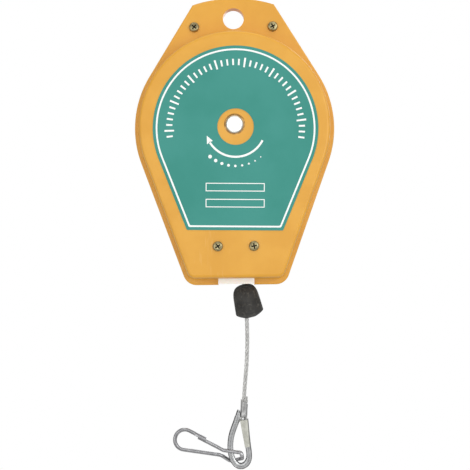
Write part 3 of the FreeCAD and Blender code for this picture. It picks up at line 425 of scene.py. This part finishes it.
def bent_wire(bm, corners, radii, wire):
    """Extrudes a disc along the runs between corners and spins it round each bend."""
    way = (corners[1] - corners[0]).normalized()
    across = way.cross(FRONT).normalized()
    disc = [bm.verts.new(p) for p in round_ring(corners[0], across, way.cross(across), wire, 16)]
    face = bm.faces.new(disc)
    here = corners[0]
    for i, radius in enumerate([*radii, 0]):
        corner = corners[i + 1]
        way = (corner - corners[i]).normalized()
        onward = (corners[i + 2] - corner).normalized() if i < len(radii) else way
        turn = way.angle(onward, 0.0)
        setback = radius * math.tan(turn / 2)
        moved = bmesh.ops.extrude_face_region(bm, geom=[face])
        run = corner - way * setback - here
        bmesh.ops.translate(bm, vec=run, verts=[
            v for v in moved["geom"] if isinstance(v, bmesh.types.BMVert)])
        face = next(f for f in moved["geom"] if isinstance(f, bmesh.types.BMFace))
        if turn > 1e-4:
            axis = way.cross(onward).normalized()
            centre = corner - way * setback + axis.cross(way) * radius
            steps = max(3, round(math.degrees(turn) / 9))
            spun = bmesh.ops.spin(bm, geom=[face, *face.edges, *face.verts], cent=centre,
                                  axis=axis, angle=turn, steps=steps)
            face = next(f for f in spun["geom_last"] if isinstance(f, bmesh.types.BMFace))
        here = corner + onward * setback


def arm(along):
    """Half the distance between the hook's arms, so far out from the eye."""
    return 8.682 - (50.3 - along) * SPREAD


def gate_line(along):
    """How far above the hook's middle line the gate lies."""
    return 1.3 + (along - 13.6) * SPREAD


HOOK = [hook(*place) for place in [
    (34.9, arm(34.9)), (50.3, 8.682), (50.3, -8.682), (14.5, -arm(14.5), 0.4), (6.5, -5.6, 5),
    (-0.9, -1.4, 5), (-0.7, 0.76, -5), (1.17, 4.46, -5), (ROOT, gate_line(ROOT), -0.45),
]]
bm = bmesh.new()
bent_wire(bm, HOOK, [r * MM for r in (7.2, 7.2, 6, 3, 2.3, 1.9, 1.9)], WIRE * MM)
hook_wire = to_object(bm, "hook_wire", "hook", ["snap_hook"], smooth=50)

GATE = [hook(ROOT, gate_line(ROOT), -0.45), *[hook(out, gate_line(out)) for out in (19.6, 34.2)]]
bm = bmesh.new()
bent_wire(bm, GATE, [20 * MM], WIRE * MM)
gate_wire = to_object(bm, "gate_wire", None, ["hook_gate"], smooth=50)
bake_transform(gate_wire)

# a cup of sheet on the upper arm's end takes the gate's tip
CUP_FROM, CUP_TO, CUP_RADIUS, CUP_OPEN = 28.8, 37.4, 2.2, 100
gate_way = (GATE[2] - GATE[1]).normalized()
gate_up = gate_way.cross(FRONT).normalized()
angles = [math.radians(CUP_OPEN * (i / 12 - 1)) for i in range(25)]
rings = []
for along in [CUP_FROM + (CUP_TO - CUP_FROM) * i / 8 for i in range(9)]:
    middle = hook(along, gate_line(along) + 0.45)
    rings.append([middle + CUP_RADIUS * MM * (
        math.cos(a) * gate_up + math.sin(a) * Vector((0, 1, 0))) for a in angles])
bm = bmesh.new()
loft(bm, rings, closed=False)
bmesh.ops.recalc_face_normals(bm, faces=bm.faces)
bmesh.ops.solidify(bm, geom=bm.faces[:], thickness=0.7 * MM)
hook_cup = to_object(bm, "hook_cup", "hook", smooth=35)
add_bevel(hook_cup, 0.12)

# %% [markdown]
# Four cross-recess screws hold the shells. The head is a low dome of rings under a flat top, and
# the cross is a plus-shaped hole in that top with sloping walls, its walls and floor coloured
# near-black as painted shade.

# %% Casing screws
def screw_head(name, middle, radius, high):
    """A pan head facing the front, with a cross recess; middle is on the face it sits on."""
    bm = bmesh.new()
    flat, half, tip, floor = radius * 0.62, radius * 0.13, radius * 0.54, 0.55
    outer = [bm.verts.new(p) for p in round_ring(
        Vector((0, -high, 0)), Vector((1, 0, 0)), Vector((0, 0, 1)), flat, 48)]
    cross = []
    for quarter in range(4):
        a = math.pi / 2 * quarter
        c, s = math.cos(a), math.sin(a)
        for x, z in ((tip, -half), (tip, half), (half, half)):
            cross.append(bm.verts.new((c * x - s * z, -high, s * x + c * z)))
    deep = [bm.verts.new((v.co.x * floor, -high * 0.25, v.co.z * floor)) for v in cross]
    for quarter in range(4):
        near, after = cross[3 * quarter:3 * quarter + 3], cross[(3 * quarter + 3) % 12]
        ring = [outer[(12 * quarter + i) % 48] for i in range(13)]
        bm.faces.new([*ring, after, near[2], near[1]])
        bm.faces.new([ring[0], near[1], near[0]])
    walls = [bm.faces.new((cross[i], cross[(i + 1) % 12], deep[(i + 1) % 12], deep[i]))
             for i in range(12)]
    # the recess's walls and floor take the second slot, a near-black that paints shade into the
    # cross
    for face in [bm.faces.new(deep), *walls]:
        face.material_index = 1
    rim = outer
    for share, drop in ((0.8, 0.10), (0.92, 0.28), (0.985, 0.55), (1.0, 0.80), (1.0, 1.0)):
        ring = [bm.verts.new((v.co.x / flat * radius * share, -high * (1 - drop),
                              v.co.z / flat * radius * share)) for v in outer]
        for i in range(48):
            j = (i + 1) % 48
            bm.faces.new((rim[i], rim[j], ring[j], ring[i]))
        rim = ring
    bm.faces.new(rim)
    turn = Matrix.Rotation(math.radians(sum(map(ord, name)) % 90), 4, "Y")
    bmesh.ops.transform(bm, matrix=Matrix.Translation(middle) @ turn, verts=bm.verts)
    return to_object(bm, name, "housing", smooth=30)


HEAD, HEAD_HIGH = 3.65, 2
ear_box, dome_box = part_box("ear_screws"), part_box("dome_screws")
screws = []
for kind, (low, high), radius, base in [
    ("ear_screw", ear_box, 3.7, -5), ("dome_screw", dome_box, 4.1, -22),
]:
    for word, x in (("left", low.x + radius * MM), ("right", high.x - radius * MM)):
        middle = Vector((x, base * MM, (low.z + high.z) / 2))
        screws.append(screw_head(f"{kind}_{word}", middle, HEAD * MM, HEAD_HIGH * MM))
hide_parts("ear_screws")
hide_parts("dome_screws")

# %% [markdown]
# The label carries generic marks only: a border that follows the plate, a curved arrow for the way
# the adjusting spindle turns, dots that grow along it, a dial of ticks and two empty fields.
# Each is ink with a little thickness, so it catches light on its own.

# %% Print on the label
plate_low, plate_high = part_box("nameplate")
plate_face, plate_back = plate_low.y, plate_high.y
INK = 0.05 * MM
LABEL_AT, LABEL_TURN, HUB = (0.7, -81.3), math.radians(1.0), (0, 1.2)


def on_label(spot, y):
    """A place on the label, which was glued on a little turned: across and up in millimetres."""
    across, up = spot[0] - HUB[0], spot[1] - HUB[1]
    x = LABEL_AT[0] + HUB[0] + across * math.cos(LABEL_TURN) + up * math.sin(LABEL_TURN)
    z = LABEL_AT[1] + HUB[1] - across * math.sin(LABEL_TURN) + up * math.cos(LABEL_TURN)
    return Vector((x * MM, y, z * MM))


def print_band(bm, outer, inner=None):
    """Ink between two loops of (x, up) places, or inside one, in millimetres."""
    proud, sunk = plate_face - INK, plate_face + INK / 2
    if inner:
        rings = [[on_label(p, y) for p in loop] for loop, y in (
            (inner, sunk), (inner, proud), (outer, proud), (outer, sunk))]
        loft(bm, rings, caps=False)
    else:
        loft(bm, [[on_label(p, sunk) for p in outer], [on_label(p, proud) for p in outer]])


def between(first, last, count):
    """Evenly spaced places from one to another, without the last."""
    return [tuple(a + (b - a) * i / count for a, b in zip(first, last)) for i in range(count)]


def shield(inset):
    """The plate's outline, moved in by a distance."""
    radius, flank, bottom, corner = 58.9 - inset, math.radians(22), 72.5 - inset, 1.2
    bottom_x = (radius - bottom * math.sin(flank)) / math.cos(flank)
    setback = corner * math.tan((math.pi / 2 - flank) / 2)
    right = [(bottom_x - setback + corner * math.cos(a), -bottom + corner + corner * math.sin(a))
             for a in [math.radians(-90 + (90 - 22) * i / 6) for i in range(7)]]
    turns = [-flank + (math.pi + 2 * flank) * i / 120 for i in range(121)]
    crown = [(radius * math.cos(a), radius * math.sin(a)) for a in turns]
    right = [*between((0, -bottom), right[0], 12), *right, *between(right[-1], crown[0], 12)[1:]]
    left = [(-x, up) for x, up in reversed(right[1:])]
    return [*right, *crown, *left]


def ring_part(radius, half, first, last, steps):
    """A closed loop round a stretch of a ring, its angles in degrees."""
    angles = [math.radians(first + (last - first) * i / steps) for i in range(steps + 1)]
    outer = [((radius + half) * math.cos(a), (radius + half) * math.sin(a)) for a in angles]
    inner = [((radius - half) * math.cos(a), (radius - half) * math.sin(a)) for a in angles]
    return [*outer, *reversed(inner)]


def framed(middle, half_x, half_up):
    """The corners of an upright field about a height."""
    return [(half_x, middle - half_up), (half_x, middle + half_up),
            (-half_x, middle + half_up), (-half_x, middle - half_up)]


def about_hub(loop):
    """The same loop with its places counted from the hub."""
    return [(across + HUB[0], up + HUB[1]) for across, up in loop]


bm = bmesh.new()
HOLE, EASED, ARROW = 13, 0.12, 21.5
outline, soft = shield(0), shield(EASED)
hole = []
for across, up in outline:
    angle = math.atan2(up - HUB[1], across)
    hole.append((HOLE * math.cos(angle), HUB[1] + HOLE * math.sin(angle)))
loft(bm, [[on_label(p, y) for p in loop] for loop, y in (
    (hole, plate_back), (hole, plate_face), (soft, plate_face), (outline, plate_face + EASED * MM),
    (outline, plate_back), (hole, plate_back))], caps=False)
bmesh.ops.remove_doubles(bm, verts=bm.verts, dist=1e-7)
label_plate = to_object(bm, "label_plate", "housing", ["nameplate"], smooth=25)

bm = bmesh.new()
print_band(bm, shield(2.1), shield(3.3))
print_band(bm, about_hub(ring_part(ARROW, 0.72, -26.7, -149, 40)))
tip, base = math.radians(-162), math.radians(-148)
print_band(bm, about_hub([
    (radius * math.cos(angle), radius * math.sin(angle))
    for radius, angle in ((ARROW + 2.4, base), (ARROW - 2.4, base), (ARROW, tip))
]))
for index in range(9):
    angle = math.radians(-50 - 10 * index)
    size = 0.45 + 0.11 * index
    middle = (28 * math.cos(angle), 28 * math.sin(angle))
    print_band(bm, about_hub([(middle[0] + size * math.cos(a), middle[1] + size * math.sin(a))
                              for a in [2 * math.pi * i / 20 for i in range(20)]]))
for index in range(40):
    angle = 187.5 - 5 * index
    long = index % 5 == 1
    print_band(bm, ring_part(47.2, 3.4 if long else 2.2, angle - 0.75, angle + 0.75, 1))
for middle in (-41.9, -53.3):
    print_band(bm, framed(middle, 21, 3.0), framed(middle, 20.4, 2.4))
label_print = to_object(bm, "label_print", "housing", smooth=30)
print("label print:", len(label_print.data.polygons), "faces")

# %% [markdown]
# Every material is built from nodes on object coordinates, in metres. A shared recipe mixes two
# tints in soft patches, varies the roughness the same way and adds a fine bump; each material
# then adds what its own process leaves, such as turning marks, scuffs or strands.

# %% Material recipe
def linear(colour):
    """A screen colour, 0 to 255, as the light values Blender works with."""
    parts = [c / 255 for c in colour]
    return (*[c / 12.92 if c < 0.04045 else ((c + 0.055) / 1.055) ** 2.4 for c in parts], 1)


class Finish:
    """One material's nodes: a Principled shader with two tints in patches and a fine grain."""

    def __init__(self, name, light, dark, rough, metallic=0.0, patch=90, grain=2500, height=0.02,
                 stretch=(1, 1, 1)):
        self.material = bpy.data.materials.new(name)
        self.material.use_nodes = True
        self.tree = self.material.node_tree
        self.shader = self.tree.nodes["Principled BSDF"]
        self.shader.inputs["Metallic"].default_value = metallic
        self.place = self.node("ShaderNodeTexCoord").outputs["Object"]
        spread = self.mapped(stretch)
        patches = self.noise(spread, patch, 4)
        self.colour = self.mix(self.ramp(patches, 0.35, 0.65), linear(light), linear(dark))
        self.rough = self.range(patches, 0.3, 0.7, rough[0], rough[1])
        self.bump = self.bumped(self.noise(spread, grain, 3), height)

    def node(self, kind, **settings):
        made = self.tree.nodes.new(kind)
        for key, value in settings.items():
            setattr(made, key, value)
        return made

    def join(self, source, socket):
        if isinstance(source, bpy.types.NodeSocket):
            self.tree.links.new(source, socket)
        else:
            socket.default_value = source

    def mapped(self, scale, move=(0, 0, 0), turn=(0, 0, 0)):
        mapping = self.node("ShaderNodeMapping")
        mapping.inputs["Scale"].default_value = scale
        mapping.inputs["Location"].default_value = move
        mapping.inputs["Rotation"].default_value = turn
        self.join(self.place, mapping.inputs["Vector"])
        return mapping.outputs["Vector"]

    def coordinate(self, letter):
        made = self.node("ShaderNodeSeparateXYZ")
        self.join(self.place, made.inputs[0])
        return made.outputs[letter]

    def noise(self, vector, scale, detail=2.0, distortion=0.0):
        noise = self.node("ShaderNodeTexNoise")
        noise.inputs["Scale"].default_value = scale
        noise.inputs["Detail"].default_value = detail
        noise.inputs["Distortion"].default_value = distortion
        self.join(vector, noise.inputs["Vector"])
        return noise.outputs["Fac"]

    def ramp(self, value, low, high):
        """0 below low, 1 above high and smooth between."""
        limits = self.node("ShaderNodeMapRange", interpolation_type="SMOOTHSTEP")
        limits.inputs["From Min"].default_value = low
        limits.inputs["From Max"].default_value = high
        self.join(value, limits.inputs["Value"])
        return limits.outputs["Result"]

    def range(self, value, low, high, to_low, to_high):
        limits = self.node("ShaderNodeMapRange")
        for key, number in (("From Min", low), ("From Max", high), ("To Min", to_low),
                            ("To Max", to_high)):
            limits.inputs[key].default_value = number
        self.join(value, limits.inputs["Value"])
        return limits.outputs["Result"]

    def maths(self, operation, first, second=0.0):
        made = self.node("ShaderNodeMath", operation=operation)
        self.join(first, made.inputs[0])
        self.join(second, made.inputs[1])
        return made.outputs[0]

    def mix(self, factor, first, second):
        mix = self.node("ShaderNodeMix", data_type="RGBA")
        self.join(factor, mix.inputs["Factor"])
        self.join(first, mix.inputs[6])
        self.join(second, mix.inputs[7])
        return mix.outputs[2]

    def bumped(self, value, height, before=None):
        bump = self.node("ShaderNodeBump")
        bump.inputs["Distance"].default_value = height * MM
        self.join(value, bump.inputs["Height"])
        if before:
            self.join(before, bump.inputs["Normal"])
        return bump.outputs["Normal"]

    def tint(self, factor, colour, strength=1.0):
        """Lays another colour over the surface where factor is high."""
        share = self.maths("MULTIPLY", factor, strength)
        self.colour = self.mix(share, self.colour, linear(colour))

    def done(self):
        self.join(self.colour, self.shader.inputs["Base Color"])
        self.join(self.rough, self.shader.inputs["Roughness"])
        self.join(self.bump, self.shader.inputs["Normal"])
        return self.material


# %% [markdown]
# The casing is moulded plastic with a faint texture and a few scuffs low on the left; the label
# is printed sheet; the stopper is rubber with pale rubbed patches.

# %% Plastic, sheet and rubber
casing = Finish("moulded_orange", (224, 163, 47), (219, 157, 43), (0.32, 0.44), patch=45,
                grain=1900, height=0.012)
scratch = casing.noise(casing.mapped((900, 900, 60), turn=(0, 0.6, 0)), 1.0, 3)
scuffed = casing.maths("MULTIPLY", casing.ramp(casing.noise(casing.place, 38, 2), 0.48, 0.64),
                       casing.ramp(casing.coordinate("Z"), -0.11, -0.17))
scuffed = casing.maths("MULTIPLY", scuffed, casing.ramp(casing.coordinate("X"), 0.01, -0.03))
casing.tint(casing.maths("MULTIPLY", casing.ramp(scratch, 0.58, 0.66), scuffed),
            (246, 205, 142), 0.22)
casing.shader.inputs["Coat Weight"].default_value = 0.15
casing.shader.inputs["Coat Roughness"].default_value = 0.25
casing_material = casing.done()

label = Finish("printed_sheet", (64, 146, 135), (58, 141, 129), (0.42, 0.54), patch=25,
               grain=2600, height=0.004)
label.shader.inputs["Specular IOR Level"].default_value = 0.25
label_material = label.done()

ink = Finish("white_ink", (252, 253, 250), (246, 248, 244), (0.42, 0.55), patch=300, height=0.004)
ink_material = ink.done()

nylon = Finish("nylon", (255, 254, 251), (252, 250, 246), (0.42, 0.58), patch=220, height=0.01)
nylon.shader.inputs["Subsurface Weight"].default_value = 0.08
nylon.shader.inputs["Subsurface Scale"].default_value = 0.0015
nylon_material = nylon.done()

rubber = Finish("rubber", (51, 50, 47), (38, 37, 35), (0.62, 0.8), patch=160, grain=1400,
                height=0.03)
rubber.tint(rubber.ramp(rubber.noise(rubber.place, 420, 5, 0.6), 0.52, 0.72), (108, 104, 96), 0.35)
rubber_material = rubber.done()

collar_finish = Finish("pressed_collar", (196, 196, 186), (178, 178, 168), (0.36, 0.5),
                       metallic=0.35, patch=300, grain=3200, height=0.008)
collar_material = collar_finish.done()

# %% [markdown]
# Metals differ by how they were made: machined and turned parts carry fine rings round the drum's
# axis, cast ones a pebbled skin, the spring a blue-brown temper colour and the screws a yellow
# plating.

# %% Metals
AXIS = (0, 0, 0.0783)


def turned_rings(finish, pitch, height):
    """Turning marks: rings about the drum's axis, a pitch apart in millimetres."""
    wave = finish.node("ShaderNodeTexWave", wave_type="RINGS", rings_direction="Y")
    wave.inputs["Scale"].default_value = 1 / (pitch * MM) / 20 * math.pi
    wave.inputs["Distortion"].default_value = 0.4
    finish.join(finish.mapped((1, 1, 1), AXIS), wave.inputs["Vector"])
    finish.bump = finish.bumped(wave.outputs["Fac"], height, finish.bump)
    finish.rough = finish.maths("ADD", finish.rough, finish.maths(
        "MULTIPLY", wave.outputs["Fac"], 0.06))


machined = Finish("machined_steel", (232, 232, 228), (206, 206, 202), (0.2, 0.34), metallic=1.0,
                  patch=300, height=0.003)
turned_rings(machined, 0.3, 0.004)
machined_material = machined.done()
cast = Finish("cast_aluminium", (188, 190, 190), (164, 166, 167), (0.42, 0.56), metallic=1.0,
              patch=240, grain=1500, height=0.04)
cast_material = cast.done()
turned_aluminium = Finish("turned_aluminium", (206, 208, 208), (186, 188, 190), (0.28, 0.4),
                          metallic=1.0, patch=200, height=0.004)
turned_rings(turned_aluminium, 0.5, 0.006)
turned_material = turned_aluminium.done()
brass = Finish("bronze_bush", (190, 150, 92), (160, 122, 72), (0.3, 0.45), metallic=1.0,
               patch=400, height=0.006)
brass_material = brass.done()
blued = Finish("blued_steel", (88, 92, 108), (96, 78, 62), (0.28, 0.42), metallic=1.0, patch=70,
               height=0.003)
blued_material = blued.done()
plated = Finish("yellow_zinc", (178, 166, 124), (134, 123, 90), (0.28, 0.42), metallic=0.9,
                patch=500, grain=3000, height=0.006)
plated_material = plated.done()
# near-black for the screws' cross recesses: painted shade inside the recess
recess = Finish("painted_recess_shade", (46, 42, 32), (30, 28, 22), (0.5, 0.7), metallic=0.5, patch=800)
recess_shade_material = recess.done()
bright_wire = Finish("bright_wire", (172, 172, 174), (146, 146, 148), (0.22, 0.32), metallic=1.0,
                     patch=260, grain=2600, height=0.003)
bright_wire.tint(bright_wire.ramp(bright_wire.noise(bright_wire.place, 500, 4), 0.56, 0.72),
                 (140, 139, 136), 0.25)
wire_material = bright_wire.done()
pressed = Finish("galvanised_sheet", (204, 205, 205), (182, 183, 184), (0.26, 0.36), metallic=1.0,
                 patch=320, grain=2400, height=0.01)
pressed.tint(pressed.ramp(pressed.noise(pressed.place, 420, 5), 0.56, 0.72), (140, 140, 140), 0.25)
pressed_material = pressed.done()
# dark grey for the thimble's cheek lips: painted shade lines along their edges
lip = Finish("painted_lip_shade", (104, 104, 104), (84, 84, 84), (0.4, 0.55), metallic=1.0, patch=420,
             grain=2400, height=0.008)
lip_shade_material = lip.done()
soft_metal = Finish("pressed_aluminium", (186, 186, 185), (160, 160, 159), (0.3, 0.44),
                    metallic=1.0, patch=380, grain=2200, height=0.015)
soft_metal.tint(soft_metal.ramp(soft_metal.noise(soft_metal.place, 800, 4), 0.6, 0.74),
                (132, 130, 124), 0.25)
ferrule_material = soft_metal.done()

# %% [markdown]
# Each strand of the rope shows its wires: narrow ridges that run a little slanted along the UV
# map, with painted shade darkening the valleys between them. The rope inside the casing has no
# such map, so its ridges slant on object coordinates instead.

# %% Rope steel
def rope_finish(name, has_map):
    finish = Finish(name, (232, 232, 230), (208, 208, 206), (0.34, 0.48), metallic=0.6, patch=500,
                    height=0.004)
    wave = finish.node("ShaderNodeTexWave", wave_type="BANDS", bands_direction="X")
    if has_map:
        source = finish.node("ShaderNodeUVMap", uv_map="lay").outputs["UV"]
        mapping = finish.node("ShaderNodeMapping")
        mapping.inputs["Rotation"].default_value = (0, 0, math.radians(78))
        mapping.inputs["Scale"].default_value = (0.35, 3.2, 1)
        finish.join(source, mapping.inputs["Vector"])
        vector = mapping.outputs["Vector"]
        wave.inputs["Scale"].default_value = 1.0
    else:
        vector = finish.mapped((1, 1, 1), turn=(0.7, 0.5, 0))
        wave.inputs["Scale"].default_value = 220
    finish.join(vector, wave.inputs["Vector"])
    finish.bump = finish.bumped(wave.outputs["Fac"], 0.05, finish.bump)
    # the valleys between the wires are darkened: painted shade
    finish.tint(finish.ramp(wave.outputs["Fac"], 0.45, 0.1), (150, 148, 144), 0.4)
    return finish.done()


strand_material = rope_finish("rope_strands", True)
inner_rope_material = rope_finish("rope_inside", False)

# %% [markdown]
# The materials go onto the CAD nodes that still show and onto the new pieces. Each row for new
# pieces also lists a slot name.

# %% Dressing
NODE_FINISH = {
    casing_material: ["front_cover", "rear_cover"],
    brass_material: ["front_bush", "rear_bush", "drum_front_bush", "drum_rear_bush"],
    nylon_material: ["rope_guide"],
    cast_material: ["rope_drum"],
    turned_material: ["drum_cover", "stop_sleeve"],
    machined_material: [
        "spindle", "front_ring", "rear_ring", "ratchet_wheel", "pawl", "pawl_pivot"],
    blued_material: ["power_spring", "pawl_spring"],
    plated_material: ["drum_screws"],
    inner_rope_material: ["wound_rope", "rope_lead"],
}
for material, names in NODE_FINISH.items():
    for name in names:
        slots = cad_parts[name].data.materials
        slots.clear()
        slots.append(material)
PIECE_FINISH = [
    (strand_material, "rope", [rope, rope_run, rope_eye, rope_tail]),
    (rubber_material, "rubber", [stopper]),
    (ferrule_material, "fittings", [ferrule]),
    (pressed_material, "fittings", [thimble]),
    (collar_material, "collar", [collar]),
    (wire_material, "fittings", [hook_wire, gate_wire, hook_cup]),
    (plated_material, "screws", screws),
    (label_material, "label", [label_plate]),
    (ink_material, "label", [label_print]),
]
for material, slot, pieces in PIECE_FINISH:
    for piece in pieces:
        piece.data.materials.append(material)
for screw in screws:
    # the second slot paints shade into each screw's cross recess
    screw.data.materials.append(recess_shade_material)
# the thimble's second slot paints shade lines on its cheek lips
thimble.data.materials.append(lip_shade_material)
print(len(bpy.data.materials), "materials")

# %% [markdown]

# %% [markdown]
# Soft light comes from large panels above, to the left and in front, and a pale floor lies well
# below the hanging rope's full travel. The world is white to the camera and in reflections, and
# dimmer as a light.

# %% Studio
def panel(name, place, aim, size, power):
    data = bpy.data.lights.new(name, "AREA")
    data.shape = "RECTANGLE"
    data.size, data.size_y = size
    data.energy = power
    light = bpy.data.objects.new(name, data)
    light.location = place
    light.rotation_euler = (Vector(aim) - Vector(place)).to_track_quat("-Z", "Y").to_euler()
    bpy.context.collection.objects.link(light)


middle = (0, 0, -0.16)
panel("left", (-0.9, -1.1, -0.25), middle, (0.8, 1.0), 2.9)
panel("right", (0.9, -1.1, 0.1), middle, (0.8, 1.0), 7.0)
panel("top", (0.0, -0.35, 0.95), middle, (1.0, 0.7), 2.5)
panel("front", (0.0, -1.7, 0.0), middle, (0.7, 0.7), 2.5)
panel("back", (0.3, 1.2, 0.5), middle, (1.2, 1.2), 8)

world = bpy.data.worlds.new("studio")
bpy.context.scene.world = world
world.use_nodes = True
nodes, links = world.node_tree.nodes, world.node_tree.links
dim = nodes["Background"]
dim.inputs["Color"].default_value = (1, 1, 1, 1)
dim.inputs["Strength"].default_value = 0.62
bright = nodes.new("ShaderNodeBackground")
bright.inputs["Color"].default_value = (1, 1, 1, 1)
bright.inputs["Strength"].default_value = 1.0
path = nodes.new("ShaderNodeLightPath")
seen = nodes.new("ShaderNodeMixShader")
links.new(path.outputs["Is Camera Ray"], seen.inputs[0])
links.new(dim.outputs[0], seen.inputs[1])
links.new(bright.outputs[0], seen.inputs[2])
links.new(seen.outputs[0], nodes["World Output"].inputs["Surface"])

bm = bmesh.new()
bmesh.ops.create_grid(bm, x_segments=1, y_segments=1, size=1.5)
bmesh.ops.translate(bm, vec=(0, 0, -1.85), verts=bm.verts)
floor = to_object(bm, "floor", None)
floor_finish = Finish("pale_floor", (252, 252, 251), (249, 249, 248), (0.7, 0.8), patch=2,
                      grain=60, height=0.1)
floor.data.materials.append(floor_finish.done())
floor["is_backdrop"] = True

# %% [markdown]
# Last come the sizes of the CAD model and of what shows now, for comparing.

# %% Sizes and finish
visual_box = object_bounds()
for word, cad, shown in zip(("lowest", "highest"), cad_box, visual_box):
    print(word, "cad", [round(v / MM, 1) for v in cad], "shown", [round(v / MM, 1) for v in shown])
